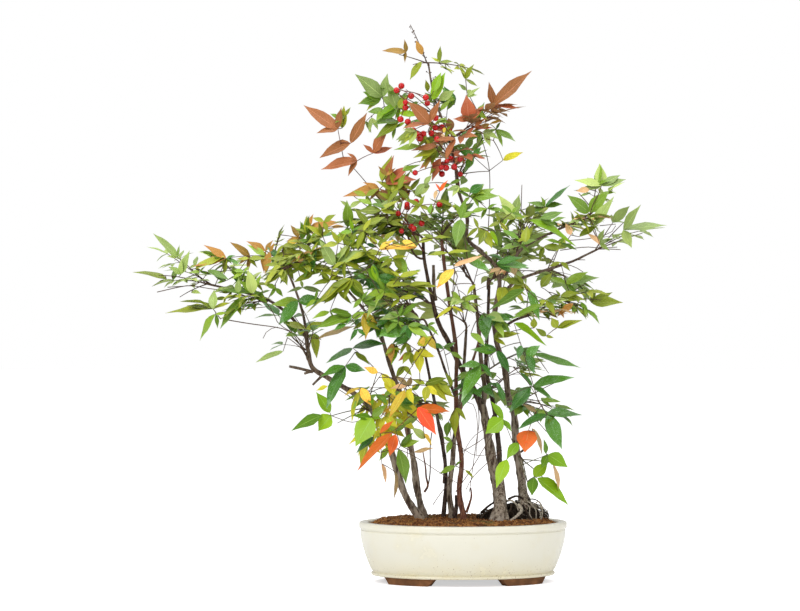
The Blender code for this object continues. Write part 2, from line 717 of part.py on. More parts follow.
class Leaflet(Piece):
    """A low pyramid on the leaflet's outline: root, tip and two edges, with a ridge above."""

    def __init__(self, root, direction, normal, length, owner, spray):
        self.root = root
        self.direction = direction.normalized()
        self.side = normal.cross(self.direction).normalized()
        self.normal = self.direction.cross(self.side).normalized()
        self.length = length
        swollen = self.shape(LEAF_THICKNESS + 2 * LEAF_CLEARANCE, -LEAF_CLEARANCE, ROOT_FREE * length)
        super().__init__(owner, spray, swollen)

    def shortened(self, share):
        """The same leaflet at a share of its length."""
        length = self.length * share
        return Leaflet(self.root, self.direction, self.normal, length, self.owner, self.spray)

    def shape(self, thickness, under=0.0, start=0.0):
        """A four-sided cone drawn out to the leaflet's outline."""
        bm = bmesh.new()
        bmesh.ops.create_cone(bm, cap_ends=True, segments=4, radius1=1.0, radius2=0.0, depth=1.0)
        half = LEAF_WIDTH * self.length / 2
        for vertex in bm.verts:
            along, across, above = vertex.co
            reach = LEAF_WIDEST + along * (1.0 - LEAF_WIDEST if along > 0 else LEAF_WIDEST)
            vertex.co = (
                self.root + self.direction * (start + reach * (self.length - start))
                + self.side * (across * half) + self.normal * (under + (above + 0.5) * thickness))
        return bm

    def build(self, collection):
        """The leaflet's solid."""
        return object_from(self.shape(LEAF_THICKNESS), "leaflet", collection)


class Spray:
    """One compound leaf: a rachis that heads for its aim, with leaflets at its nodes."""

    def __init__(self, base, aim, mass, number, rng):
        reach = aim - base
        bare = number < mass.bare
        leaflet = 0.0 if bare else min(mass.leaflet * LEAF_GROWTH, LEAFLET_SHARE * reach.length)
        lean = FACING.get(mass.name) or (UP * LEAN_UP + outward(aim) * LEAN_OUT)
        lean = lean + Vector([rng.uniform(-LEAN_SPREAD, LEAN_SPREAD) for _ in range(3)])
        last = aim - (reach.normalized() - UP * TIP_SAG).normalized() * leaflet
        tangent = (last - base).normalized()
        edge = self.plane(lean, tangent)
        self.twig = Twig([base, last], RACHIS_RADIUS, TWIG_END_RADIUS, mass.name, number, edge=edge)
        self.leaflets = []
        if bare:
            return
        end = (aim - last).normalized()
        self.add(last - end * TERMINAL_SINK, end, lean, leaflet)
        for sign in (-1, 1):
            heading = turned(end, self.plane(lean, end), sign * LATERAL_ANGLE) - UP * LEAF_SAG
            self.add(last - tangent * LATERAL_BACK, heading, lean, leaflet * rng.uniform(0.84, 0.98))
        for sign in (-1, 1):
            heading = turned(tangent, self.plane(lean, tangent), sign * PAIR_ANGLE) - UP * LEAF_SAG
            self.add(base.lerp(last, PAIR_SHARE), heading, lean, leaflet * rng.uniform(0.9, 1.05))

    @staticmethod
    def plane(lean, direction):
        """Normal of the leaf's plane for a direction that lies in it."""
        return (lean - direction * lean.dot(direction)).normalized()

    def add(self, node, heading, lean, length):
        """A leaflet with its root sunk into the rachis."""
        heading = heading.normalized()
        self.leaflets.append(Leaflet(
            node - heading * LEAF_SINK, heading, self.plane(lean, heading), length,
            self.twig.owner, self.twig.spray))


class Stalk:
    """A berry on its own thin stalk."""

    def __init__(self, base, end, owner, number):
        self.twig = Twig([base, end], STALK_RADIUS, TWIG_END_RADIUS, owner, number)
        self.berry = Berry(end, owner, number)
        self.leaflets = []


def along_path(path, share):
    """Place and direction at a share of a path's steps."""
    place = share * (len(path) - 1)
    index = min(int(place), len(path) - 2)
    return path[index].lerp(path[index + 1], place - index), (path[index + 1] - path[index]).normalized()


def stem_start(mass, limbs, target):
    """Where a mass's stem meets its limb, with the direction it sets off in."""
    limb = limbs[mass.limb]
    place, tangent = along_path(limb.path, mass.share)
    if mass.share >= 1.0:
        return place + tangent * GAP, tangent
    away = target - place
    away = (away - tangent * away.dot(tangent)).normalized()
    hit, normal, _, _ = limb.tree.ray_cast((place + away * 40.0) * MM, -away)
    return hit / MM + normal * GAP, normal


def plan_mass(mass, limbs, seed):
    """The mass's stem and its sprays."""
    rng = random.Random(seed)
    aims = [Vector(aim) for aim in mass.aims]
    target = sum(aims, Vector()) / len(aims)
    start, heading = stem_start(mass, limbs, target)
    hub = start.lerp(target, HUB_SHARE)
    control = start + heading * max(STEM_SWEEP, 0.5 * (hub - start).length)
    path = bezier(start, control, hub, STEM_STEPS)
    stem = Twig(path, STEM_RADIUS, RACHIS_RADIUS, mass.name, STEM, heading)
    sprays = []
    for number, aim in enumerate(aims):
        base, _ = along_path(path, 1.0 - SPRAY_SPACING * number / len(aims))
        sprays.append(Spray(base, aim, mass, number, rng))
    return stem, sprays


def plan_panicle(mass, limbs, seed):
    """A stem with short stalks round it, each with a berry at its end."""
    rng = random.Random(seed)
    aim = Vector(mass.aims[0])
    start, heading = stem_start(mass, limbs, aim)
    control = start + heading * PANICLE_SWEEP + UP * PANICLE_RISE
    path = bezier(start, control, aim, PANICLE_STEPS)
    stem = Twig(path, STEM_RADIUS, TWIG_END_RADIUS, mass.name, STEM, heading)
    stalks = []
    for number in range(BERRY_COUNT):
        share = PANICLE_START + (1.0 - PANICLE_START) * number / (BERRY_COUNT - 1)
        base, along = along_path(path, share)
        out = turned(along.orthogonal().normalized(), along, number * GOLDEN_ANGLE)
        reach = PANICLE_SPREAD * rng.uniform(0.45, 1.0) * (1.0 - PANICLE_TAPER * share)
        end = base + (out + along * STALK_LEAN).normalized() * reach
        stalks.append(Stalk(base - out * LEAF_SINK, end, mass.name, number))
    return stem, stalks


def inside_reach(leaflet):
    """Whether the leaflet's tip stays in the plant's own space."""
    tip = leaflet.root + leaflet.direction * leaflet.length
    return all(REACH_LOW[a] <= tip[a] <= REACH_HIGH[a] for a in range(3))


def hits(piece, solids):
    """Whether a piece's shape cuts a limb, the pot, the soil or the roots."""
    return any(piece.tree.overlap(tree) for tree in solids)


def fuse(name, first, parts, tint):
    """One Boolean union of a mass's stem with its twigs, leaflets or fruit."""
    group = bpy.data.collections.new("parts_of_mass")
    bpy.context.scene.collection.children.link(group)
    for part in parts:
        part.build(group)
    body = first.build(None)
    body.name = name
    apply_boolean(body, "UNION", collection=group)
    for item in list(group.objects):
        remove_object(item)
    bpy.data.collections.remove(group)
    keep_largest(body.data)
    give_material(body, tint, 0.45)
    return body


def lay_out_twigs(limbs, solids):
    """Stems and sprays of every mass, without the sprays whose twig would touch something."""
    plans = []
    twigs = []
    for number, mass in enumerate(MASSES):
        grow = plan_panicle if mass.tint == "berry" else plan_mass
        stem, sprays = grow(mass, limbs, FOLIAGE_SEED + number)
        strangers = list(twigs)
        twigs.append(stem)
        kept = []
        for spray in sprays:
            own = [spray.twig] + ([spray.berry] if isinstance(spray, Stalk) else [])
            if any(piece.touches(strangers) or hits(piece, solids) for piece in own):
                continue
            twigs.extend(own)
            kept.append(spray)
        plans.append((mass, stem, kept))
    return plans, twigs


def clear_leaflet(leaflet, twigs, leaflets, solids):
    """The leaflet, or a shorter one in its place, that touches nothing; otherwise None."""
    def same(other):
        return other.owner == leaflet.owner and other.spray in (leaflet.spray, STEM)

    rivals = [other for other in twigs + leaflets if not same(other)]
    for share in (1.0, SHORTER):
        trial = leaflet if share == 1.0 else leaflet.shortened(share)
        if inside_reach(trial) and not trial.touches(rivals) and not hits(trial, solids):
            return trial
    return None


def make_foliage(limbs, hard):
    """Every mass: twigs first, then leaflets where they are clear of all else."""
    solids = [limb.tree for limb in limbs.values()] + hard
    plans, twigs = lay_out_twigs(limbs, solids)
    leaflets = []
    for mass, stem, sprays in plans:
        parts = []
        for spray in sprays:
            parts.append(spray.twig)
            if isinstance(spray, Stalk):
                parts.append(spray.berry)
            for leaflet in spray.leaflets:
                kept = clear_leaflet(leaflet, twigs, leaflets, solids)
                if kept:
                    leaflets.append(kept)
                    parts.append(kept)
        fuse(mass.name, stem, parts, mass.tint)


def centre_on_origin():
    """Move the whole plant so that the origin is under the middle of its box."""
    bpy.context.view_layer.update()
    solids = [item for item in bpy.context.scene.objects if item.type == "MESH"]
    corners = [vertex.co for item in solids for vertex in item.data.vertices]
    low = [min(corner[axis] for corner in corners) for axis in range(3)]
    high = [max(corner[axis] for corner in corners) for axis in range(3)]
    shift = Vector((-(low[0] + high[0]) / 2, -(low[1] + high[1]) / 2, -low[2]))
    for item in solids:
        item.data.transform(Matrix.Translation(shift))


def main():
    clear_scene()
    pot = make_pot()
    soil = make_soil()
    limbs = make_limbs()
    add_stump(limbs["stem_grey"])
    mound = make_root_mound([limbs[name] for name in ("trunk", "stem_dark", "stem_right")])
    make_foliage(limbs, [tree_of(pot), tree_of(soil), tree_of(mound)])
    centre_on_origin()


main()
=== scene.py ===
import json
import math
import random
from collections import namedtuple

import bmesh
import bpy
import numpy as np
from bpy.props import FloatProperty, FloatVectorProperty, PointerProperty
from mathutils import Matrix, Vector, noise

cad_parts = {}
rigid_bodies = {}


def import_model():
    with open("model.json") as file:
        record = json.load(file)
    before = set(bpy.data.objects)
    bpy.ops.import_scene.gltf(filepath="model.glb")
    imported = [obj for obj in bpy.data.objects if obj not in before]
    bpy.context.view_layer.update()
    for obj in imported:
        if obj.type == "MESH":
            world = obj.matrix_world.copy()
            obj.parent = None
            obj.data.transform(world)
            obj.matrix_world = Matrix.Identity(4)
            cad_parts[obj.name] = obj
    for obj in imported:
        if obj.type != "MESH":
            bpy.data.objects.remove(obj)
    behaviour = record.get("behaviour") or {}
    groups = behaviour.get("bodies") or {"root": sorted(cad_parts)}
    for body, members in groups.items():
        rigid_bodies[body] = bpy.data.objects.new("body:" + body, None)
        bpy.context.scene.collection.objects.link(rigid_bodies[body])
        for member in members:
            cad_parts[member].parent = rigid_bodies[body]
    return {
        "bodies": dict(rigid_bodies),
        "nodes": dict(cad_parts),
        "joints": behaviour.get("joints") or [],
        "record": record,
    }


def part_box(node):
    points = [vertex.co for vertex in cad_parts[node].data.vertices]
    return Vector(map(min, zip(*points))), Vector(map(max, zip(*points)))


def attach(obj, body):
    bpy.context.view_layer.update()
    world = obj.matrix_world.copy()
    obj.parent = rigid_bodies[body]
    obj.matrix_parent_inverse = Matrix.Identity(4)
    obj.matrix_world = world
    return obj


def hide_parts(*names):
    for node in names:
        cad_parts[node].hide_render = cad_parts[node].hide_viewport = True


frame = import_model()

bl_info = {
    "name": "Heavenly Bamboo Bonsai",
    "version": (1, 0, 0),
    "blender": (4, 5, 0),
    "location": "3D View > Sidebar > Bonsai",
    "description": "Dresses the solids of a potted heavenly bamboo with bark, leaves, fruit, soil and glaze",
    "category": "Object",
}

# Places are in millimetres from the middle of the pot's footprint: X right, Y back, Z up
MM = 0.001
CURVE_STEPS = 12
SHARP_ANGLE = math.radians(40.0)
UP = Vector((0.0, 0.0, 1.0))
FORWARD = Vector((0.0, 1.0, 0.0))
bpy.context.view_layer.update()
POT_LOW, POT_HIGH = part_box("pot")
MIDDLE = Vector(((POT_LOW.x + POT_HIGH.x) / 2, (POT_LOW.y + POT_HIGH.y) / 2, 0.0))

# Pot
POT_LENGTH = 260.0
POT_DEPTH = 198.0
POT_HEIGHT = (POT_HIGH.z - POT_LOW.z) / MM
POT_TURN = math.radians(3.5)
POT_SIDES = 144
WALL_STEPS = 14
LIP_HEIGHT = 9.0
LIP_ROUND = 2.6
LIP_OVERHANG = 1.5
RIM_LAND = 10.6
WALL_TUCK = 15.1
WALL_CURVE = 1.6
WALL_THICKNESS = 8.0
BEAD_HEIGHT = 3.6
FLOOR_THICKNESS = 9.0
FOOT_HEIGHT = 9.0
FOOT_INSET = 19.5
FOOT_WIDTH = 15.0
FOOT_FROM = math.radians(24.0)
FOOT_TO = math.radians(68.0)
FOOT_SLANT = math.radians(5.0)
FOOT_STEPS = 22

# Soil and roots
SOIL_LEVEL = 79.0
SOIL_EDGE = 70.0
SOIL_SHOULDER = 74.5
SHOULDER_INSET = 19.6
PLATEAU_INSET = 27.0
SOIL_RINGS = 22
SOIL_MIDDLE = 96.0
SOIL_SIDES = 120
SOIL_SEED = 31
GRANULES = 3600
GRANULE_SIZE = (0.7, 1.7)
LARGE_SHARE = 0.08
LARGER = 1.3
FIBRES = 150
FIBRE_REACH = (4.0, 13.0)
FIBRE_RADII = (0.22, 0.12)
MOUND_SIZE = (44.0, 30.0, 22.0)
MOUND_PLACE = (62.0, 2.0)
MOUND_SINK = 1.0
MOUND_LOW = 0.62
ROOT_SEED = 19
ROOT_STRANDS = 150
ROOT_SPACING = 3.0
PALE_SHARE = 0.4

# Limbs
RING_SPACING = 25.0
FINE_SPACING = 2.4
FLARE_LENGTH = 11.0
KNOBBLE = 0.07
LIMB_SEED = 100
BARK_SIDES = 20
STUB_SIDES = 12
STUB_SPACING = 2.0
ROOTED_DEPTH = 3.5
ROUGHNESS_OF = {"bark": 1.0, "red_bark": 0.4, "dark_bark": 0.7}
SCAR_SPACING = {"bark": 21.0, "red_bark": 34.0, "dark_bark": 34.0}
SCAR_HEIGHT = 0.10

# Foliage
FOLIAGE_SEED = 500
DETAIL_SEED = 9000
BUD_SEED = 61
HUB_SHARE = 0.16
STEM_SWEEP = 6.0
SPRAY_SPACING = 0.42
LEAF_GROWTH = 1.4
LEAFLET_SHARE = 0.6
LATERAL_ANGLE = math.radians(57.0)
PAIR_ANGLE = math.radians(62.0)
LEAF_SAG = 0.11
TIP_SAG = 0.15
LEAN_UP = 0.85
LEAN_OUT = 0.5
LEAN_SPREAD = 0.35
FINE_UP = 1.0
FINE_OUT = 0.3
FINE_LEAF = 0.8
FINE_SPREAD = 20.0
TERMINAL_SHARE = 0.7
STALK_SHARE = 0.3
PAIR_SPACING = 30.0
OWN_PLACE = 16.0
TRUE_WIDTH = 0.42
MOST_FACING = 0.96
LEAST_REACH = 62.0
SHORTENED = 0.62
SIDE_LEAFLETS = 4
HUB_RADII = (1.5, 1.0)
RACHIS_RADII = (0.8, 0.45)
STALK_RADII = (0.6, 0.4)
SIDE_STALK_RADII = (0.5, 0.35)
TWIG_SPACING = 9.0
SPRAY_FACING = {"bronze_spray": Vector((0.1, -1.0, 0.3))}

# Blade of a leaflet: rows along it, columns round its section, and the share of its length where it is widest
LEAF_STATIONS = (0.07, 0.2, 0.36, 0.53, 0.7, 0.86)
LEAF_COLUMNS = (-1.0, -0.5, 0.0, 0.5, 1.0, 0.0)
MIDRIB = 2
RIM = 4
UNDERSIDE = 5
WIDEST = 0.38
ROOT_POWER = 0.9
TIP_POWER = 1.47
BLADE_ARCH = 0.3
RIPPLE = 0.10
RIB_HEIGHT = 0.12
BLADE_DEPTH = 0.22

# Fruit
FRUIT_SEED = 77
PANICLE_STEPS = 9
PANICLE_SWEEP = 18.0
PANICLE_RISE = 8.0
BERRY_DEPTH = -46.0
BERRY_SPREAD = 16.0

# Camera, on the photograph's axis
CAMERA_PLACE = (-78.75, -3610.0, 344.4)
CAMERA_LENS = 130.0
CAMERA_SENSOR = 36.0
FLOOR_RADIUS = 12.0

Limb = namedtuple("Limb", "name finish base tip flare points")
Mass = namedtuple("Mass", "name limb share leaflet tint aims bare", defaults=(0,))
Leaf = namedtuple("Leaf", "root direction normal length width droop fold tone")

LIMBS = [
    Limb("stem_left", "bark", 4.6, 2.4, 0.35, [
        (-54, -10, 79), (-73, -12, 110), (-86, -14, 151), (-101, -16, 194), (-127, -18, 228),
        (-166, -20, 253), (-187, -20, 267), (-193, -20, 289), (-196, -20, 316)]),
    Limb("stem_left_upright", "bark", 4.3, 2.0, 0.35, [
        (-49, 10, 79), (-57, 8, 113), (-62, 6, 151), (-70, 4, 192), (-77, 2, 231), (-89, -2, 263),
        (-106, -8, 322)]),
    Limb("stem_thin", "dark_bark", 2.7, 1.5, 0.25, [
        (-24, 20, 79), (-21, 22, 136), (-31, 34, 200), (-43, 56, 263), (-56, 74, 328)]),
    Limb("stem_grey", "bark", 3.6, 1.6, 0.3, [
        (-13, 12, 79), (-17, 16, 113), (-13, 20, 144), (-10, 32, 178), (0, 58, 240), (6, 84, 313)]),
    Limb("stem_red", "red_bark", 3.3, 2.0, 0.25, [
        (1, -14, 79), (-5, -14, 113), (-2, -15, 151), (-8, -16, 196), (-9, -17, 245), (-9, -18, 289),
        (-17, -20, 345), (-24, -21, 397), (-27, -22, 425)]),
    Limb("bough_red_right", "red_bark", 1.9, 1.2, 0.0, [
        (-8, -16, 205), (2, -24, 231), (8, -30, 264), (19, -34, 302), (21, -38, 329)]),
    Limb("bough_red_left", "dark_bark", 1.8, 1.2, 0.0, [
        (-9, -17, 229), (-22, -26, 262), (-33, -34, 293), (-47, -44, 324)]),
    Limb("trunk", "bark", 8.0, 4.6, 0.3, [
        (48, 0, 79), (44, 0, 116), (35, 0, 156), (28, 0, 201), (24, 0, 221)]),
    Limb("bough_trunk_left", "dark_bark", 4.0, 1.9, 0.0, [
        (26, 0, 210), (14, 4, 239), (-1, 10, 264), (-16, 14, 295), (-31, 12, 324), (-40, 8, 360),
        (-48, 4, 399), (-50, 2, 426)]),
    Limb("bough_trunk_right", "bark", 3.4, 1.7, 0.0, [
        (25, 1, 213), (27, 9, 242), (23, 18, 276), (20, 32, 320), (15, 48, 367)]),
    Limb("stem_dark", "dark_bark", 3.6, 2.0, 0.0, [
        (44, 2, 118), (46, 20, 156), (43, 27, 190), (38, 31, 225), (30, 36, 265), (32, 42, 317),
        (34, 48, 369)]),
    Limb("stem_right", "bark", 5.6, 2.3, 0.35, [
        (76, 25, 79), (74, 24, 125), (67, 22, 166), (65, 20, 203), (58, 18, 228), (53, 16, 262),
        (42, 12, 301), (40, 8, 336), (46, 6, 371), (39, 6, 396), (19, 6, 414)]),
    Limb("bough_apex", "bark", 2.2, 1.1, 0.0, [
        (25, 6, 411), (6, 6, 428), (5, 4, 456), (-6, 2, 489), (-10, 0, 520), (-20, 0, 561), (-36, -2, 604),
        (-43, -2, 644)]),
    Limb("bough_right_upper", "bark", 2.1, 1.2, 0.0, [
        (45, 6, 374), (60, -4, 394), (72, -14, 414), (101, -20, 431), (139, -24, 448), (157, -26, 458)]),
    Limb("bough_right", "bark", 2.3, 1.3, 0.0, [
        (42, 8, 350), (66, 16, 374), (98, 28, 387), (136, 40, 399), (164, 46, 412)]),
    Limb("bough_right_low", "dark_bark", 2.0, 1.2, 0.0, [
        (41, 11, 307), (61, 2, 324), (90, -10, 336), (115, -22, 351)]),
    Limb("bough_left_far", "dark_bark", 2.2, 1.2, 0.0, [
        (-195, -20, 305), (-214, -24, 330), (-240, -28, 350), (-270, -30, 360), (-308, -30, 369)]),
    Limb("bough_left_up", "bark", 2.0, 1.2, 0.0, [
        (-193, -20, 288), (-200, -6, 335), (-217, 8, 381), (-235, 18, 404)]),
    Limb("bough_left_mid", "bark", 1.9, 1.2, 0.0, [
        (-101, -7, 300), (-124, -26, 340), (-157, -44, 376), (-187, -56, 398)]),
]

# Cut stubs and small dead or budding shoots: finish, radius at each end, places
STUBS = [
    ("dark_bark", 3.0, 2.3, [(-11, 9, 76), (-8, 4, 94), (-8.5, 2, 107)]),
    ("bark", 2.0, 1.5, [(-187, -20, 262), (-203, -24, 266), (-216, -27, 269)]),
    ("bark", 1.9, 1.5, [(-184, -20, 264), (-191, -26, 262), (-197, -30, 260)]),
    ("bark", 1.7, 1.2, [(-176, -20, 257), (-182, -24, 251), (-187, -27, 246)]),
    ("dark_bark", 1.1, 0.7, [(-196, -20, 289), (-206, -26, 299), (-216, -30, 309)]),
    ("bark", 2.4, 1.8, [(-34, 12, 351), (-36, 8, 364), (-37, 5, 395)]),
    ("dark_bark", 2.2, 1.9, [(33, 46, 365), (33, 50, 374), (34, 52, 379)]),
    ("red_bark", 1.5, 0.7, [(-48, 8, 111), (-44, 4, 119), (-46, 2, 130), (-47, 0, 143), (-50, -2, 161)]),
    ("dark_bark", 0.8, 0.6, [(-43, 4, 121), (-41, 0, 139), (-41, -2, 168), (-39, -4, 186)]),
    ("red_bark", 1.8, 0.9, [(4, -14, 87), (8, -18, 99), (10, -20, 108), (9, -22, 118)]),
    ("dark_bark", 1.3, 0.9, [(-24, 18, 121), (-23, 14, 154), (-25, 12, 182), (-29, 8, 196)]),
    ("bark", 1.6, 1.1, [(69, 22, 158), (76, 16, 163), (80, 13, 170)]),
    ("bark", 2.6, 1.9, [(29, 0, 192), (36, -5, 201), (38, -7, 207)]),
]

# Roots that show singly: places, radius, kind
ROOT_LOOPS = [
    ([(43, -39, 73), (44, -34, 84), (46, -22, 99), (46, -8, 115), (45, 2, 132)], 9.4, "flare"),
    ([(34, -38, 75), (37, -32, 84), (42, -20, 96), (45, -8, 110)], 4.2, "flare"),
    ([(53, -38, 76), (52, -31, 85), (50, -20, 97), (48, -8, 110)], 4.4, "flare"),
    ([(75, -15, 90), (76, -7, 103), (76, 8, 114), (75, 20, 126)], 6.2, "flare"),
    ([(84, -12, 92), (82, -4, 102), (78, 10, 112)], 3.0, "flare"),
    ([(68, -24, 97), (72, -30, 91), (66, -35, 84), (56, -37, 77)], 2.4, "pale"),
    ([(79, -14, 101), (88, -18, 97), (93, -20, 101), (98, -22, 92), (97, -24, 79)], 0.9, "pale"),
    ([(84, -14, 97), (90, -20, 90), (90, -26, 78)], 0.8, "pale"),
    ([(86, -12, 96), (95, -16, 88), (96, -22, 77)], 0.7, "pale"),
    ([(74, -16, 100), (82, -22, 94), (82, -28, 86), (86, -30, 78)], 0.7, "pale"),
    ([(78, -8, 102), (88, -10, 103), (97, -12, 97), (101, -14, 79)], 0.8, "dark"),
    ([(54, -14, 101), (60, -20, 102), (66, -23, 97), (68, -26, 90)], 1.4, "pale"),
    ([(22, -10, 86), (32, -12, 95), (42, -13, 101), (54, -14, 103)], 1.6, "dark"),
    ([(56, -10, 103), (66, -12, 107), (76, -12, 103), (86, -12, 94)], 1.5, "dark"),
    ([(38, -16, 92), (28, -20, 87), (20, -24, 78)], 1.8, "dark"),
    ([(44, -18, 94), (36, -24, 88), (30, -30, 77)], 1.4, "dark"),
    ([(60, -20, 98), (58, -29, 91), (50, -37, 78)], 1.2, "dark"),
    ([(74, -18, 96), (78, -28, 89), (84, -34, 78)], 1.5, "dark"),
    ([(46, -20, 93), (50, -28, 86), (42, -34, 78)], 0.7, "pale"),
]

# Each mass springs from a share of its limb's length and reaches for its aims.
# The first aims of a mass, as many as its last value says, are bare twigs.
MASSES = [
    Mass("apex", "bough_apex", 1.0, 24, "olive", [
        (-66, -4, 695), (-102, -10, 664), (-74, -24, 642), (28, 8, 634)], 1),
    Mass("crown_right", "bough_apex", 0.62, 44, "bronze", [(86, -6, 635), (77, 22, 595), (65, -24, 545)]),
    Mass("crown_front", "bough_apex", 0.5, 42, "bronze", [
        (-49, -60, 541), (27, -62, 526), (-20, -64, 582)]),
    Mass("crown_left", "bough_apex", 0.74, 40, "lime", [
        (-136, -8, 597), (-93, 14, 634), (-79, -36, 565), (-38, 30, 619)]),
    Mass("bronze_spray", "bough_trunk_left", 0.9, 46, "bronze", [
        (-200, -14, 592), (-184, -26, 520), (-118, 10, 585)]),
    Mass("crown_back", "bough_apex", 0.42, 40, "green", [(26, 64, 555), (-40, 84, 571), (61, 60, 509)]),
    Mass("berries", "bough_apex", 0.52, 0, "berry", [(-76, -20, 610)]),
    Mass("top_left", "bough_trunk_left", 1.0, 40, "olive", [
        (-152, -24, 468), (-165, -62, 447), (-114, 34, 493)]),
    Mass("top_centre", "stem_red", 1.0, 36, "green", [(-22, -30, 495), (-73, -74, 467), (14, -80, 473)]),
    Mass("top_right", "bough_right_upper", 0.3, 40, "olive", [
        (75, -4, 534), (68, -40, 487), (117, 14, 482)]),
    Mass("mid_left", "bough_trunk_left", 0.66, 40, "green", [
        (-179, -92, 405), (-154, -86, 356), (-93, -120, 433)]),
    Mass("mid_centre", "stem_red", 0.74, 40, "green", [(-50, -122, 368), (-4, -140, 404), (-30, -96, 329)]),
    Mass("mid_right", "bough_right_upper", 0.14, 42, "green", [
        (91, -104, 390), (49, -134, 418), (43, -92, 345)]),
    Mass("front_left", "bough_red_left", 1.0, 42, "dark", [
        (-137, -122, 332), (-74, -146, 298), (-169, -80, 307)]),
    Mass("front_right", "bough_red_right", 1.0, 42, "green", [
        (49, -118, 310), (0, -150, 291), (-17, -160, 351)]),
    Mass("back_left", "stem_thin", 1.0, 42, "green", [(-136, 142, 388), (-84, 172, 433), (-143, 120, 328)]),
    Mass("back_centre", "stem_grey", 1.0, 42, "olive", [(-10, 200, 389), (34, 186, 425), (-53, 176, 331)]),
    Mass("back_right", "stem_dark", 1.0, 42, "green", [(113, 128, 447), (58, 128, 478), (124, 150, 383)]),
    Mass("inner", "bough_trunk_right", 1.0, 40, "green", [(-17, 110, 452), (-79, 90, 467)]),
    Mass("left_far", "bough_left_far", 1.0, 36, "pale", [
        (-412, -34, 388), (-386, -20, 431), (-372, -50, 338)]),
    Mass("left_near", "bough_left_far", 0.5, 36, "olive", [
        (-331, -2, 419), (-329, -66, 314), (-278, -92, 346)]),
    Mass("left_up", "bough_left_up", 1.0, 36, "russet", [
        (-275, 30, 427), (-224, 4, 449), (-289, 84, 392), (-212, 104, 416)]),
    Mass("left_mid", "bough_left_mid", 1.0, 38, "olive", [
        (-195, -44, 459), (-246, -112, 370), (-204, -128, 404)]),
    Mass("left_low", "stem_left", 0.86, 42, "dark", [(-232, -50, 317), (-179, -96, 329), (-254, 60, 351)]),
    Mass("right_far", "bough_right", 1.0, 44, "pale", [(259, 28, 447), (227, 52, 473), (220, 78, 415)]),
    Mass("right_top", "bough_right_upper", 1.0, 34, "olive", [
        (201, -30, 501), (172, -14, 522), (131, -54, 495)]),
    Mass("right_mid", "bough_right_upper", 0.62, 38, "pale", [
        (186, -66, 457), (142, -100, 417), (103, -60, 457)]),
    Mass("right_low", "bough_right_low", 1.0, 38, "olive", [
        (199, -26, 351), (173, -4, 384), (155, -62, 329)]),
    Mass("right_low_inner", "bough_right_low", 0.5, 40, "green", [
        (137, -76, 322), (91, -110, 310), (78, -128, 378)]),
    Mass("right_back", "bough_right", 0.55, 40, "green", [
        (185, 118, 401), (134, 92, 433), (168, 108, 351)]),
    Mass("lower_left", "stem_left", 0.52, 42, "dark", [
        (-175, -44, 255), (-215, -34, 193), (-177, -60, 189), (-98, -60, 292)]),
    Mass("autumn_left", "stem_left_upright", 0.72, 38, "autumn", [
        (-139, -70, 219), (-129, -56, 144), (-94, -44, 159)]),
    Mass("scarlet", "stem_left_upright", 0.56, 40, "scarlet", [
        (-18, -44, 217), (-37, -56, 184), (-69, -40, 121)]),
    Mass("lower_right", "stem_right", 0.42, 46, "dark", [
        (144, -44, 266), (151, -30, 211), (123, -66, 167), (107, -90, 227)]),
    Mass("lower_right_bright", "stem_right", 0.22, 36, "lime", [
        (132, -44, 99), (130, -14, 147), (82, -60, 110)]),
    Mass("lower_centre", "bough_trunk_right", 0.3, 42, "dark", [
        (-3, -64, 223), (35, -84, 256), (100, -50, 294)]),
    Mass("lower_back_left", "stem_thin", 0.55, 42, "green", [(-112, 104, 249), (-68, 116, 192)]),
    Mass("lower_back_right", "stem_dark", 0.5, 42, "green", [(109, 108, 279), (66, 118, 210)]),
]

# Panicles of fruit: limb, share of its length, end of the main stalk
PANICLES = [
    ("bough_apex", 0.66, (-80, -30, 606)),
    ("bough_apex", 0.5, (-44, -52, 560)),
    ("bough_apex", 0.36, (-10, -44, 514)),
    ("bough_trunk_left", 0.94, (-72, -52, 450)),
]

# Berries: across and up
BERRIES = [
    (-77, 616), (-83, 609), (-65, 602), (-47, 600), (-45, 594), (-72, 594), (-72, 588), (-78, 574),
    (-69, 572), (-35, 575), (-35, 564), (-27, 565), (-18, 562), (-40, 557), (-58, 557), (-56, 554),
    (-33, 549), (-5, 524), (-12, 515), (-4, 507), (-21, 522), (-28, 514), (-60, 508), (-70, 469),
    (-59, 472), (-30, 469), (-81, 458), (-65, 442), (-77, 436), (-62, 439), (-52, 446), (-50, 556),
    (-62, 561), (-54, 550), (-22, 514), (-27, 507), (-16, 526), (-26, 519), (-70, 466),
]

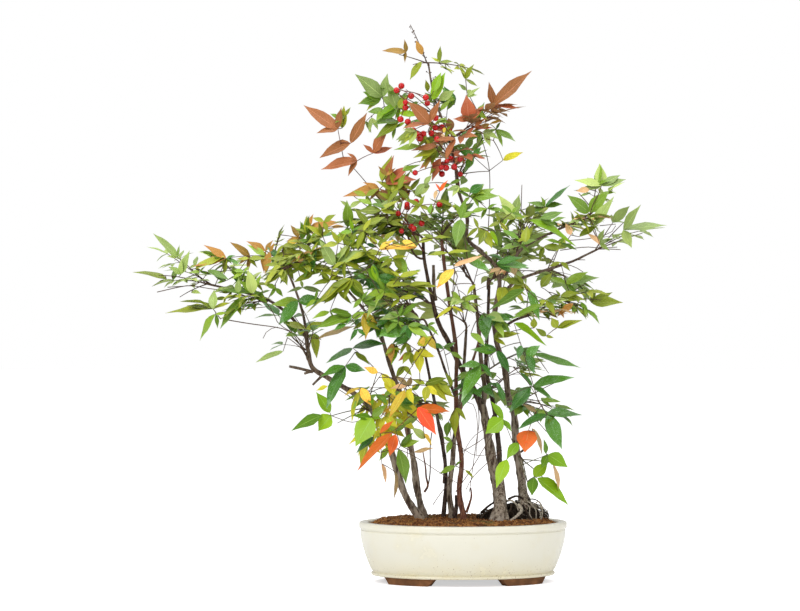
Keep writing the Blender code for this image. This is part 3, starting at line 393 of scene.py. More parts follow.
# Leaf groups as they hang, by mass: tint, depth, blade width as it shows from the front in hundredths of
# the length, the node they spring from, across and up, and their tips as seen from that node
PLACED = {
    "apex": [
        ("russet",-10,29,-71,660,-31,4,-2,16,-2,-13), ("russet",-8,40,-51,657,-8,19),
        ("olive",-14,29,-52,648,-15,-23), ("olive",-6,29,-29,648,0,21,17,1,-11,7),
        ("olive",-10,24,-20,638,10,-2,-9,5), ("olive",-12,27,3,626,10,19,-8,18,15,-9),
        ("pale",-12,26,5,604,16,14,13,3)],
    "crown_left": [
        ("lime",-30,41,-37,610,9,24), ("pale",-14,40,-100,604,-35,27,6,29,21,-14),
        ("olive",-10,32,-102,604,-30,-8,-19,-18,-14,7), ("lime",-20,32,-82,595,-24,-16,16,12,0,-22),
        ("green",-10,32,-85,576,-30,-3,-14,-15), ("olive",-24,45,-74,585,-2,21),
        ("pale",-10,32,-121,574,7,-15,-8,-8), ("green",-20,29,-84,565,-15,-7,13,8,-5,-15),
        ("green",-18,20,-79,573,-36,-4), ("olive",-22,32,-81,572,-29,-21), ("lime",-26,42,-82,587,-24,-10),
        ("pale",-24,30,-82,586,-13,40), ("olive",-28,55,-80,589,10,16), ("lime",-24,30,-80,583,25,-3),
        ("green",-14,50,-102,603,-27,-8,-23,7), ("pale",-16,30,-114,578,-3,-19,8,-16),
        ("green",-20,40,-99,587,-20,-2,-10,-14), ("pale",-16,40,-109,613,-17,7,-12,-10)],
    "crown_back": [
        ("dark",0,32,-19,596,-5,23,10,10,-13,5), ("dark",-4,45,-11,595,-13,23),
        ("green",-8,40,-11,601,-20,3,-10,-13), ("lime",-20,36,-38,600,14,35), ("pale",-16,42,-30,600,20,13),
        ("green",-14,40,-28,588,12,12), ("dark",-6,30,-11,595,-15,25), ("olive",4,36,-44,612,-2,15)],
    "crown_right": [
        ("bronze",-8,32,37,593,-5,31), ("bronze",-8,20,37,593,34,-1), ("bronze",-8,26,37,593,49,42),
        ("bronze",-16,34,7,575,19,17,-20,1), ("bronze",-16,52,7,575,-4,31),
        ("bronze",-22,24,13,565,25,1,16,14,-16,-14), ("green",-10,27,41,564,6,9,24,-16,9,-22,-14,-5),
        ("dark",10,29,18,572,9,27), ("dark",-30,41,12,529,-21,12,10,13,-11,-19), ("autumn",0,29,50,526,25,10),
        ("pale",-14,27,22,559,-16,-10,-5,-17,-14,3), ("pale",-12,34,25,561,20,-10,10,-19,13,1),
        ("green",-14,30,16,559,-8,-12,10,-14), ("russet",-18,24,33,570,16,4,-22,-9),
        ("dark",-16,20,-5,553,16,12), ("dark",-30,16,-2,506,15,18),
        ("green",-10,36,18,586,13,-10,-9,-13,8,10), ("pale",-6,36,4,613,12,-7,-10,8)],
    "crown_front": [
        ("bronze",-62,41,-43,568,-26,28), ("bronze",-62,26,-43,568,15,29), ("bronze",-62,17,-43,568,-34,-4),
        ("bronze",-64,24,-11,549,-14,-27,-25,-3), ("bronze",-58,24,-33,541,-33,-5),
        ("bronze",-50,24,-28,526,-14,-29), ("green",-45,24,-53,541,-34,-5),
        ("pale",-30,27,-64,558,-21,-8,-9,9,-16,-16), ("olive",-34,27,-37,567,15,10,-12,7,-7,-10),
        ("olive",-38,27,-44,542,-11,15,10,12,-14,-8), ("bronze",-44,27,-42,524,-13,-12,14,-15,-7,12),
        ("olive",-56,25,-33,537,-31,-10,-24,-16), ("olive",-52,28,-33,535,-19,-19,-8,-19),
        ("russet",-54,25,-41,528,-8,-17), ("olive",-60,30,-62,560,-12,-18,-20,-15),
        ("pale",-62,34,-59,559,-9,-20,-17,0), ("olive",-50,34,-22,560,14,-8,1,-10,7,7),
        ("green",-48,26,-33,572,13,4,18,-3), ("amber",-66,50,-24,563,-1,-8),
        ("olive",-44,34,-47,549,-10,-10,7,-8,-3,10), ("olive",-40,30,-33,522,-9,-18,4,-16,-7,-5),
        ("pale",-36,34,-69,518,6,-11,-7,-7), ("green",-50,24,-75,510,22,9)],
    "bronze_spray": [
        ("bronze",-20,30,-156,564,-43,28,4,27,-27,-4), ("bronze",-18,32,-140,546,21,38,-42,-16),
        ("bronze",-24,29,-132,524,-12,11,-45,-11,-12,-19), ("bronze",-16,30,-112,534,18,34,-13,11,24,7),
        ("russet",-22,26,-104,489,-46,-10,-21,8,-14,-14), ("bronze",-26,27,-96,496,7,36,31,22,25,11,38,5),
        ("olive",-30,26,-81,485,-11,32,17,27,-28,17), ("olive",-14,41,-151,565,3,28),
        ("olive",-26,29,-101,498,12,34), ("russet",-30,27,-79,480,16,22,10,-7),
        ("bronze",-24,24,-104,489,-17,-12,17,-12), ("pale",-40,34,-42,492,-18,-13,-13,3),
        ("olive",-34,36,-90,485,16,25,21,15), ("olive",-36,34,-89,475,-17,10,-5,17,15,5),
        ("russet",-30,30,-75,483,-15,14,-9,-9), ("pale",-30,24,-84,475,-13,-8,-22,-7),
        ("olive",-18,34,-147,580,-13,-9,7,11), ("green",-12,40,-154,578,-12,6,-7,-7),
        ("russet",-36,28,-96,505,-10,12,12,10), ("olive",-32,34,-121,480,-17,7,8,-15,17,10),
        ("russet",-28,30,-66,488,12,12,-10,-15)],
    "left_far": [
        ("pale",-40,27,-353,404,1,16,-14,1), ("pale",-40,22,-353,404,-31,28),
        ("olive",-30,18,-368,376,-18,-9), ("olive",-30,14,-368,376,-44,14), ("green",-30,40,-360,376,4,17),
        ("pale",-44,32,-349,383,12,29,1,19,-15,10), ("olive",-36,24,-332,390,38,16,11,-4),
        ("olive",-30,29,-294,403,-3,-21,7,-7), ("green",-40,24,-326,386,-15,-1,7,7,15,-4),
        ("russet",-30,24,-294,403,-41,-11,-28,17)],
    "left_near": [
        ("russet",-20,29,-265,406,-25,16,-3,-19,-14,-11), ("lime",-60,29,-219,395,-29,-20,9,-5),
        ("green",-50,29,-271,386,-16,2,-15,-10,12,-5,7,7), ("pale",-64,41,-259,359,-6,30),
        ("green",-56,27,-260,359,-17,18,11,24,16,-8), ("green",-56,16,-260,359,-45,7),
        ("green",-60,24,-269,356,-35,-39), ("pale",-66,41,-308,340,0,26),
        ("olive",-60,19,-308,340,22,9,-19,10), ("olive",-60,12,-308,340,-34,6),
        ("olive",-60,9,-308,340,-62,-2), ("green",-66,24,-305,334,-23,-33,2,-18,15,1),
        ("green",-50,27,-293,375,-21,12,-13,-3), ("green",-44,29,-273,377,-16,11,-14,3,4,12,-8,-6),
        ("pale",-58,40,-278,359,1,20), ("dark",-56,24,-255,344,-17,0,3,6),
        ("olive",-40,24,-257,372,18,-3,8,9,10,-11), ("olive",-46,24,-293,354,-18,-3,17,1,-5,-9),
        ("green",-48,25,-316,388,28,-12), ("green",-56,40,-258,362,17,-15),
        ("dark",-40,36,-275,371,-11,10,11,6), ("olive",-58,12,-317,347,-32,3),
        ("olive",-46,24,-286,361,-17,0,-7,-6,10,6), ("green",-44,36,-232,366,-15,5,9,-11,-7,-11)],
    "left_up": [
        ("russet",-16,29,-246,412,-24,13,9,15,-4,-27), ("dark",-30,32,-226,402,-18,16),
        ("russet",-10,32,-205,429,-10,17,2,-17,-15,-4), ("green",-20,27,-199,427,-2,23),
        ("russet",-6,26,-194,439,7,20,42,9,10,-8), ("green",-24,27,-246,406,-23,15,-14,-8,13,-8),
        ("dark",-30,24,-294,403,18,-8,12,3), ("olive",-30,24,-266,403,-16,-1,21,-1,11,-12),
        ("olive",-40,27,-223,419,22,-18,17,-2,-9,-13), ("olive",-66,27,-221,397,21,-9,12,-23,20,4,-15,-10),
        ("russet",-30,34,-240,411,-7,-28,6,11), ("olive",-36,40,-224,411,17,-13,9,11,-11,-15),
        ("amber",-30,40,-205,424,-14,-1), ("russet",-24,20,-148,442,-18,-1),
        ("green",-28,40,-199,427,-1,21,10,-9), ("olive",-50,36,-195,405,-19,8,-14,-7,13,-7)],
    "left_low": [
        ("dark",-60,41,-204,350,-25,-30,33,1), ("green",-50,29,-204,351,-34,-7,-13,-16),
        ("olive",-40,24,-195,315,-32,9,-10,-8,30,9), ("olive",-44,29,-187,309,7,-31,12,-7),
        ("peach",-50,16,-180,303,48,17), ("pale",-44,20,-223,288,-36,-12)],
    "left_mid": [
        ("green",-40,41,-143,441,-1,34,-5,-24), ("pale",-30,27,-141,465,19,13,-12,10),
        ("pale",-90,41,-159,393,-18,31), ("green",-84,19,-157,394,55,16,32,10),
        ("pale",-84,14,-157,394,17,30), ("olive",-70,24,-183,398,-23,7,-18,-13,4,19,18,10),
        ("olive",-70,27,-174,430,-21,14,-5,17,14,9,-20,-9),
        ("olive",-80,29,-186,410,-20,11,-15,-12,7,14,22,-8), ("green",-84,29,-189,398,-7,-22,-17,-8,8,-15),
        ("olive",-90,24,-164,375,-15,13,-22,-4,18,4,12,15), ("olive",-96,27,-154,420,-20,-3,-10,17,10,14),
        ("pale",-70,24,-198,366,-20,-5,24,-5,-3,12), ("olive",-76,29,-216,383,-19,7,-10,-12,16,7),
        ("olive",-90,32,-140,417,-14,17,8,19,17,0,-5,-15), ("green",-86,29,-159,405,-15,-8,9,-17,19,0),
        ("olive",-84,29,-174,388,-17,-8,5,-17,22,-8), ("green",-90,29,-181,351,-15,-10,17,-2,2,14),
        ("green",-60,32,-189,422,-15,3,7,15,14,-4), ("dark",-84,26,-189,385,8,31),
        ("olive",-80,34,-185,384,-29,12,-23,-12,11,14), ("pale",-88,24,-156,396,43,16),
        ("olive",-86,30,-154,397,44,5,29,-4), ("green",-96,40,-140,375,19,-26),
        ("olive",-94,36,-140,374,-28,-19,-23,-8), ("olive",-76,36,-144,433,-16,-8,16,-8,9,-23),
        ("olive",-70,40,-118,439,15,18,-20,-6,-7,15), ("olive",-72,32,-120,437,-11,-27,-13,-17),
        ("green",-84,18,-137,385,-32,-2,24,-5), ("olive",-82,20,-164,391,-27,-1,23,-1,-15,-11),
        ("green",-70,34,-169,417,-18,10,14,5,-10,-9), ("dark",-60,30,-175,430,-19,-8,18,5),
        ("olive",-74,34,-98,425,14,12,-17,4,5,-15), ("olive",-78,30,-145,402,-19,-4,20,10,-7,15),
        ("green",-80,30,-106,398,17,7,-14,0,8,-15), ("olive",-72,36,-172,447,15,9,-15,5,5,-15),
        ("dark",-66,30,-120,420,14,-5,-13,10)],
    "mid_left": [
        ("olive",-80,29,-118,443,-17,23,22,11,-19,-10,7,-20), ("olive",-70,27,-102,461,22,15,-31,0,18,-4),
        ("amber",-110,19,-104,412,19,14,46,2), ("amber",-100,32,-76,423,18,-8),
        ("lime",-112,29,-113,393,6,-20), ("olive",-108,24,-137,377,-33,-21,17,-22,-11,-25),
        ("olive",-108,10,-137,377,-62,-40), ("pale",-112,19,-102,356,-19,-28),
        ("green",-104,24,-137,332,-47,-12,-26,5), ("amber",-100,27,-123,335,3,-33,18,-13),
        ("green",-110,29,-98,363,-27,-10,-12,-19,14,-12,-7,17), ("olive",-96,29,-123,435,-8,-24,10,16,17,-1),
        ("lime",-90,24,-137,435,-22,-6,-3,17,12,6), ("olive",-104,27,-120,409,-23,-12,17,-12,22,0,-7,11),
        ("olive",-108,27,-88,402,18,-21,19,2,-15,-12), ("dark",-100,27,-120,377,19,-13,5,-14,-17,6),
        ("dark",-106,29,-105,380,19,-14,23,-1,-8,17),
        ("olive",-110,29,-139,374,19,-17,-31,-19,-26,-8,-15,-16),
        ("olive",-100,24,-146,397,-18,-9,-1,-22,21,-9), ("olive",-96,32,-154,361,-17,-15,17,-15,7,12),
        ("green",-100,24,-164,337,-22,-8,24,2,7,-11), ("olive",-100,29,-120,324,-17,-9,17,-9,7,8),
        ("dark",-90,32,-137,429,-8,-17,7,12), ("olive",-90,29,-106,419,-14,10,15,8,10,-7),
        ("lime",-110,42,-116,390,13,-20), ("green",-104,50,-125,354,24,-10), ("green",-98,40,-84,405,15,-27),
        ("dark",-100,30,-68,379,15,9), ("olive",-100,16,-48,362,-42,10,-26,2),
        ("pale",-108,24,-79,332,-26,-4), ("green",-98,40,-101,366,20,-10,-12,-15,-14,5),
        ("olive",-96,36,-86,383,-17,7,17,7,5,-17), ("green",-104,40,-137,329,-22,-5,17,8),
        ("dark",-100,40,-93,329,17,-7,-15,-10)],
    "mid_centre": [
        ("amber",-142,34,-14,388,-22,-23), ("autumn",-136,21,-17,343,-18,-15,15,-8),
        ("peach",-130,12,-14,392,35,11), ("dark",-126,32,3,398,28,-11), ("green",-110,27,-5,449,6,27),
        ("green",-110,42,-5,449,-6,-34), ("olive",-118,21,-96,369,31,3,15,-8),
        ("olive",-120,19,-67,369,34,-3,27,5,29,-9), ("olive",-122,27,-79,379,26,7,-12,8),
        ("green",-130,32,-17,361,13,-14), ("pale",-126,40,-2,346,16,-9), ("olive",-130,27,12,370,-10,-14),
        ("green",-124,29,-1,351,20,5), ("olive",-120,21,-21,408,-24,-4,27,3,17,-7),
        ("olive",-110,21,-38,426,-21,-6,-17,6,22,3)],
    "top_centre": [
        ("green",-70,32,-2,452,-11,18,15,9), ("green",-60,32,12,478,13,16,25,10,31,0,6,-14),
        ("lime",-80,53,-41,456,0,14), ("scarlet",-84,24,-30,484,-6,10,9,14), ("peach",-84,32,-34,485,-3,-12),
        ("green",-60,27,7,478,-18,8,-10,-11,18,-9,13,5), ("green",-70,24,28,463,-23,-6,23,-5,-9,-13,12,7),
        ("green",-50,27,-17,494,-15,-7,15,6), ("pale",-56,40,-49,494,-13,-16,10,11),
        ("olive",-66,27,-15,467,-20,7,-15,-10,17,-8), ("olive",-72,27,-54,466,-20,8,-15,-10,17,-5,5,15),
        ("dark",-64,50,7,483,17,11), ("pale",-60,36,-6,491,-16,-6,-9,-13),
        ("green",-58,26,10,484,-20,4,18,-1)],
    "right_top": [
        ("pale",-20,47,171,493,-1,29), ("pale",-24,29,171,493,25,16,32,9,-34,6,-26,-5),
        ("peach",-30,45,156,488,-17,-2), ("green",-34,40,155,460,-27,22,25,26,-17,3)],
    "right_mid": [
        ("pale",-50,29,160,442,26,36), ("peach",-60,27,167,419,-16,17), ("peach",-66,45,131,431,-7,15),
        ("olive",-56,27,142,429,24,16), ("olive",-70,27,97,416,15,-6,28,0,-4,-18,-16,-6),
        ("green",-66,24,118,421,22,-8,-19,4,7,9), ("green",-60,27,108,447,17,7,-15,7,12,-7)],
    "right_far": [
        ("pale",10,22,201,439,56,8,22,31), ("pale",10,45,201,439,10,-23),
        ("pale",20,27,171,423,7,18,18,5,15,-10)],
    "top_right": [
        ("dark",-34,18,101,466,31,29), ("green",-30,29,101,467,-22,6,-5,13,-25,-7,22,4),
        ("pale",-50,34,63,451,4,33,-20,31), ("olive",-56,24,63,451,-36,7,18,4,-16,-14)],
    "mid_right": [
        ("lime",-104,14,77,449,62,-31), ("green",-96,27,92,450,28,8,19,-9), ("olive",-110,53,73,421,3,20),
        ("lime",-116,22,45,435,23,-11), ("lime",-112,29,30,435,11,-19),
        ("olive",-110,40,25,435,-9,-18,8,-22,-14,-9), ("dark",-108,24,38,396,32,6,19,-12,40,-6),
        ("olive",-90,29,16,439,-14,-12,-5,14,17,-10), ("olive",-96,32,43,446,-15,-7,-7,12,11,-15),
        ("green",-100,24,57,457,-14,10,19,-7,10,10), ("olive",-100,40,23,424,-7,17,16,-7,10,10),
        ("green",-90,24,68,419,-25,-7,21,5,12,-12,-15,5), ("dark",-96,27,43,397,34,-5,15,-12),
        ("olive",-80,32,75,427,-7,12,10,15,-12,-5)],
    "right_low": [
        ("green",-30,29,127,371,27,16,43,11,14,-11,-22,9), ("olive",-50,45,95,367,14,19),
        ("olive",-20,32,159,348,6,18,27,13,39,2), ("lime",-40,27,144,349,11,-19),
        ("russet",-60,27,134,347,-20,-17), ("olive",-44,29,119,356,-19,-5,25,3,-6,8,31,-5),
        ("olive",-30,27,120,398,14,-11,-15,-5)],
    "right_low_inner": [
        ("dark",-100,29,77,363,14,-37), ("green",-110,19,73,364,-43,-27), ("green",-114,19,92,346,-36,-20),
        ("olive",-90,32,99,351,12,-19,-10,-8), ("olive",-80,66,85,317,0,13), ("olive",-80,66,113,317,-7,13),
        ("olive",-80,22,113,317,31,12,20,8), ("olive",-80,45,100,307,-13,10,9,-2),
        ("olive",-70,29,73,371,-19,-8,-10,12,-29,7), ("olive",-80,27,36,305,7,9,32,5,15,-10),
        ("green",-84,29,43,324,13,-14,-9,5,10,5)],
    "lower_centre": [
        ("dark",-70,41,24,336,4,-36), ("olive",-40,29,-10,218,-3,-37,13,-16), ("green",-44,40,-19,201,-2,-20),
        ("green",-44,40,-15,177,-7,-16,-11,6), ("green",-40,24,-10,146,-22,-9,7,7),
        ("olive",-40,24,2,141,11,-10), ("olive",-60,29,-15,245,-7,18,-17,-4),
        ("dark",-50,32,-25,291,-17,8,15,8), ("green",-46,30,-16,287,16,-10,-11,9)],
    "lower_right": [
        ("lime",-96,18,60,323,39,-29), ("dark",-90,53,75,284,17,12), ("dark",-90,45,69,296,-4,-18),
        ("dark",-70,41,77,285,9,-25), ("dark",-60,14,85,285,58,-18),
        ("dark",-76,29,39,289,-32,1,19,-28,-22,8), ("dark",-80,24,19,273,-22,-47),
        ("dark",-80,29,20,273,-27,-3,15,-16), ("dark",-56,22,84,245,51,15,-16,20,26,-18),
        ("dark",-60,34,82,245,-29,-32), ("dark",-84,27,48,228,-10,24), ("dark",-50,19,102,211,47,1),
        ("dark",-50,40,102,209,21,-43), ("dark",-56,26,101,211,-35,-20), ("peach",-50,21,89,213,-17,11),
        ("scarlet",-60,85,79,191,-5,-27), ("scarlet",-58,57,87,189,-17,-15), ("peach",-52,13,84,193,16,-34)],
    "lower_right_bright": [
        ("lime",-90,66,47,206,-22,-18), ("lime",-84,29,47,205,11,-14,-15,24), ("lime",-70,45,66,176,-15,-19),
        ("lime",-74,41,52,156,-14,-34), ("lime",-40,53,104,160,25,-15,-8,-16), ("lime",-36,32,102,161,-4,19),
        ("lime",-30,53,87,132,18,18,-3,-24), ("lime",-34,22,91,131,42,-32), ("peach",-30,10,110,150,12,-48)],
    "lower_left": [
        ("dark",-50,22,-137,292,-32,-20,42,7), ("olive",-56,27,-134,287,18,-16),
        ("dark",-60,26,-146,270,-31,-13,-26,-52), ("dark",-60,45,-146,270,25,-6),
        ("lime",-40,26,-175,209,-40,-17), ("lime",-40,76,-164,209,-16,-20), ("lime",-44,41,-165,212,-17,27),
        ("lime",-70,63,-113,207,-21,-35), ("lime",-66,29,-113,206,-25,5,13,0),
        ("green",-50,41,-113,207,18,16), ("dark",-56,29,-111,183,-21,-21)],
    "autumn_left": [
        ("autumn",-74,41,-101,261,14,-19), ("amber",-70,45,-106,262,-17,7), ("peach",-70,24,-70,246,-21,-4),
        ("amber",-80,26,-73,241,-18,-34), ("autumn",-78,45,-70,241,8,-17), ("amber",-60,24,-128,243,-20,-9),
        ("amber",-60,45,-127,243,13,-22), ("autumn",-58,16,-128,239,-12,-39),
        ("autumn",-50,32,-168,245,-14,-6), ("autumn",-70,45,-46,246,2,-17), ("autumn",-76,24,-41,247,23,-21),
        ("autumn",-60,29,-42,250,20,5,31,-19), ("autumn",-84,34,-56,288,20,-6,-6,-10,2,-25),
        ("amber",-80,45,-46,306,-13,-9,12,-16), ("green",-66,40,-64,241,11,8),
        ("olive",-80,24,-71,299,7,-30,-8,-16), ("bronze",-76,32,-64,287,-17,-11),
        ("lime",-70,32,-82,294,-8,-23,-14,-12), ("dark",-66,32,-81,228,22,-3), ("amber",-84,50,-53,295,4,12),
        ("olive",-80,40,-67,288,-9,-15,5,-15), ("olive",-78,34,-87,292,-10,-8,11,-2),
        ("autumn",-70,40,-64,243,-10,-13,6,6), ("autumn",-82,42,-58,290,4,-29,20,-9),
        ("autumn",-86,50,-57,296,19,12), ("russet",-72,36,-89,298,-1,-24,10,-13),
        ("dark",-76,40,-64,311,-22,-16), ("olive",-72,34,-48,248,27,9,-17,6),
        ("autumn",-80,46,-46,246,-3,-20,14,-12), ("olive",-70,36,-32,251,18,-18,15,-3),
        ("olive",-64,40,-74,270,-10,-15,10,-12), ("autumn",-66,50,-96,255,12,-22),
        ("green",-58,36,-79,223,30,8,17,-7)],
    "scarlet": [
        ("scarlet",-76,27,-57,218,41,-1), ("scarlet",-80,40,-57,220,22,-34),
        ("scarlet",-84,15,-89,189,-40,-47), ("scarlet",-80,41,-84,187,-8,-28),
        ("scarlet",-78,24,-103,188,17,16), ("peach",-64,21,-101,150,5,-24), ("peach",-60,16,-85,140,0,-36),
        ("green",-64,27,-81,168,13,-44), ("green",-60,34,-92,170,-14,-17),
        ("green",-58,30,-78,172,24,6,16,17), ("amber",-62,24,-49,187,11,-15), ("peach",-62,14,-62,164,26,5),
        ("green",-60,34,-84,190,-14,8,14,9), ("pale",-58,40,-48,181,-17,14),
        ("green",-56,36,-74,199,15,7,-12,7), ("green",-60,34,-100,179,-13,-10,-8,5)],
    "front_left": [
        ("green",-118,29,-125,351,22,-8,-12,-10,8,12,16,5), ("olive",-114,27,-79,353,-22,5,22,3,-12,-12),
        ("green",-124,24,-80,331,25,18,6,15,-13,6), ("pale",-120,21,-76,334,-27,-6,23,-5),
        ("dark",-110,29,-144,322,-16,-7,7,10), ("dark",-106,32,-130,316,-9,-15,10,-9),
        ("green",-130,29,-81,325,-17,-16,-10,2,12,-13), ("dark",-128,24,-75,309,-30,1,-13,-12,11,6),
        ("dark",-132,40,-69,321,2,-18,-10,-12), ("green",-134,29,-69,320,25,-15,19,2),
        ("green",-120,27,-45,321,13,-13,10,3)],
    "top_left": [
        ("olive",-50,29,-81,487,10,22,-15,-17,16,-13), ("olive",-60,27,-94,447,-22,7,-12,-12,20,-5,10,12),
        ("green",-64,27,-113,469,-20,7,-12,-12,17,-5), ("olive",-40,29,-64,487,10,17,-12,8,15,-12)],
}

# Bare twigs and long leaf stalks: depth, radius, and places across and up
BARE_TWIGS = [
    (-40, 0.6, [(-379, 361), (-357, 366), (-338, 369), (-312, 365), (-260, 359)]),
    (-40, 0.55, [(-366, 367), (-338, 369), (-327, 372), (-320, 380), (-312, 391), (-300, 397)]),
    (-56, 0.7, [(-293, 327), (-263, 322), (-228, 317), (-212, 311), (-194, 295)]),
    (-50, 0.55, [(-298, 336), (-270, 340), (-241, 343)]),
    (-60, 0.45, [(-247, 304), (-241, 314), (-229, 318)]),
    (-56, 0.6, [(-260, 359), (-246, 351), (-235, 336), (-228, 322), (-214, 313)]),
    (-50, 0.55, [(-209, 331), (-201, 320), (-195, 314)]),
    (0, 0.6, [(31, 430), (33, 470), (33, 513), (26, 544), (19, 561)]), (0, 0.5, [(33, 513), (50, 526)]),
    (-6, 0.5, [(33, 512), (14, 529)]), (30, 0.6, [(123, 414), (154, 418), (173, 417), (195, 418)]),
    (30, 0.55, [(130, 426), (161, 429), (186, 436), (193, 445)]), (-40, 0.55, [(168, 443), (188, 445)]),
    (-40, 0.7, [(166, 425), (156, 448), (159, 467), (168, 485), (170, 492)]),
    (-20, 0.55, [(115, 395), (130, 395), (141, 391), (149, 386)]),
    (-60, 0.55, [(60, 269), (79, 249), (93, 225), (102, 211)]), (-60, 0.55, [(88, 284), (104, 261)]),
    (-40, 0.5, [(-163, 208), (-138, 200), (-121, 205)]),
    (-50, 0.45, [(-6, 228), (8, 224), (14, 218), (17, 191), (15, 160)]),
    (-40, 0.45, [(29, 194), (13, 183), (3, 169), (-2, 153)]),
    (-36, 0.45, [(-29, 173), (-11, 174), (14, 159), (45, 163)]),
    (-30, 0.55, [(48, 165), (27, 147), (11, 131), (3, 116)]),
    (-50, 0.5, [(-84, 169), (-60, 158), (-29, 138), (-2, 122)]),
    (-120, 0.55, [(-49, 424), (-79, 416), (-97, 420)]), (-120, 0.55, [(-49, 424), (-33, 426), (-16, 419)]),
    (-120, 0.55, [(-34, 315), (-55, 285), (-69, 264), (-85, 239)]),
    (-110, 0.5, [(-105, 257), (-79, 257), (-42, 252)]), (-110, 0.5, [(-33, 286), (-12, 303), (6, 321)]),
    (-40, 0.55, [(-10, 114), (8, 140), (28, 173), (36, 186)]),
    (-40, 0.55, [(16, 234), (19, 203), (15, 172), (7, 114)]),
    (-40, 0.55, [(-3, 163), (20, 177), (35, 189), (47, 197)]),
    (-40, 0.55, [(-38, 98), (-28, 113), (-14, 129)]),
]

# Stretches with dried flower buds: start, end, how many, length of their stalks
BUDDED = [
    ((-43, -2, 646), (-66, -4, 691), 13, 3.6),
    ((-24, 0, 575), (-43, -2, 640), 16, 6.5),
    ((-16, 0, 542), (-24, 0, 575), 8, 5.0),
]

# Gaps where sky or bare stems show through the leaves: across, up and radius
OPEN = [
    (21, 340, 6), (-206, 391, 8), (-219, 389, 7), (21, 511, 19), (42, 486, 12), (78, 511, 30),
    (-4, 371, 16), (-76, 391, 11), (-64, 400, 11), (146, 399, 15), (171, 401, 12), (86, 391, 10),
    (128, 299, 20), (152, 314, 12), (50, 280, 11), (61, 256, 12), (9, 324, 12), (-20, 329, 10),
    (4, 308, 10), (-360, 356, 15), (-322, 346, 9), (-210, 295, 12), (-160, 304, 14), (-181, 286, 11),
    (-129, 286, 9), (-81, 269, 8), (-266, 314, 20), (-179, 241, 18), (-21, 414, 8), (-34, 364, 11),
    (-14, 306, 10), (-46, 399, 10), (45, 371, 9), (-241, 324, 10), (-221, 269, 18), (-154, 261, 11),
    (-89, 249, 9), (-49, 419, 10), (-45, 381, 10), (-39, 351, 9), (4, 385, 12), (16, 391, 9), (-29, 309, 9),
    (46, 294, 10), (-141, 336, 10), (26, 314, 8), (121, 404, 11), (-64, 470, 9),
]

# How many finer sprays each mass has beyond those that carry its outline
MORE_SPRAYS = {
    "apex": 0, "crown_left": 3, "crown_right": 2, "crown_front": 4, "bronze_spray": 0, "scarlet": 0,
    "lower_right_bright": 0, "autumn_left": 2, "lower_right": 3, "lower_left": 0, "lower_centre": 2,
    "left_far": 4, "left_near": 6, "left_up": 2, "left_low": 2, "right_far": 2, "right_top": 2,
    "right_mid": 4, "right_low": 4, "right_low_inner": 4, "mid_left": 9, "mid_centre": 4, "mid_right": 3,
    "top_left": 11, "top_centre": 10, "left_mid": 16, "front_left": 8, "front_right": 4, "crown_back": 5,
}
USUAL_MORE = 7

# The tints that a mass deals out to its sprays, with their weights
DEALT = {
    "green": (("green", 9), ("olive", 5), ("dark", 2), ("pale", 2), ("peach", 0.5)),
    "dark": (("dark", 9), ("green", 3)),
    "olive": (("olive", 9), ("green", 4), ("pale", 2), ("russet", 1), ("peach", 0.4)),
    "pale": (("pale", 8), ("green", 3), ("olive", 3), ("peach", 0.8)),
    "lime": (("lime", 1),),
    "bronze": (("bronze", 9), ("olive", 1.5)),
    "russet": (("olive", 6), ("green", 3), ("russet", 3)),
    "autumn": (("autumn", 5), ("amber", 5), ("lime", 1)),
    "scarlet": (("scarlet", 1),),
}
LEAF_SLOTS = {
    "green": "leaf_green", "dark": "leaf_dark_green", "olive": "leaf_olive", "pale": "leaf_pale_green",
    "lime": "leaf_lime", "bronze": "leaf_bronze", "russet": "leaf_bronze", "autumn": "leaf_autumn_yellow",
    "amber": "leaf_autumn_yellow", "peach": "leaf_autumn_yellow", "scarlet": "leaf_scarlet",
}
BARK_SLOTS = {"bark": "grey_bark", "red_bark": "red_bark", "dark_bark": "dark_bark"}
TWIG_COLOURS = {"bronze": "red", "scarlet": "red", "amber": "red", "lime": "green", "dark": "green"}

# Colour of each tint's blotches and how far they cover it, and how dull its blades are. On the dark tint the
# pale spots are painted glints of light, not blotches of its own
BLOTCHES_AND_GLINTS = {
    "dark": ((0.50, 0.70, 0.45), 0.6), "amber": ((0.72, 0.14, 0.02), 0.8),
    "autumn": ((0.45, 0.28, 0.03), 0.4), "bronze": ((0.60, 0.30, 0.16), 0.25),
    "russet": ((0.52, 0.16, 0.03), 0.5), "scarlet": ((0.95, 0.34, 0.10), 0.3),
    "olive": ((0.40, 0.22, 0.05), 0.2), "peach": ((0.55, 0.25, 0.10), 0.5),
    "green": ((0.48, 0.62, 0.30), 0.35), "pale": ((0.55, 0.62, 0.30), 0.1), "lime": ((0.40, 0.58, 0.10), 0.0),
}
LEAF_ROUGHNESS = {"dark": 0.24, "green": 0.32, "olive": 0.36, "lime": 0.36, "pale": 0.38}
DRY_ROUGHNESS = 0.46
WAXY_COAT = 0.12
DRY_COAT = 0.03


def colour_property(name, default, description):
    """A linear base colour."""
    return FloatVectorProperty(
        name=name, description=description, default=default, subtype="COLOR", size=3, min=0.0, max=1.0)


class PotSettings(bpy.types.PropertyGroup):
    """Glaze and clay of the pot."""
    glaze: colour_property("Glaze", (0.80, 0.775, 0.66), "Cream glaze of the wall and lip")
    warm_glaze: colour_property("Warm glaze", (0.76, 0.68, 0.43), "Glaze where it runs thin or thick")
    speck: colour_property("Specks", (0.25, 0.12, 0.05), "Iron specks in the glaze")
    clay: colour_property("Clay", (0.15, 0.066, 0.026), "Bare clay of the feet and underside")
    roughness: FloatProperty(
        name="Roughness", description="Roughness of the glaze", default=0.26, min=0.0, max=1.0)


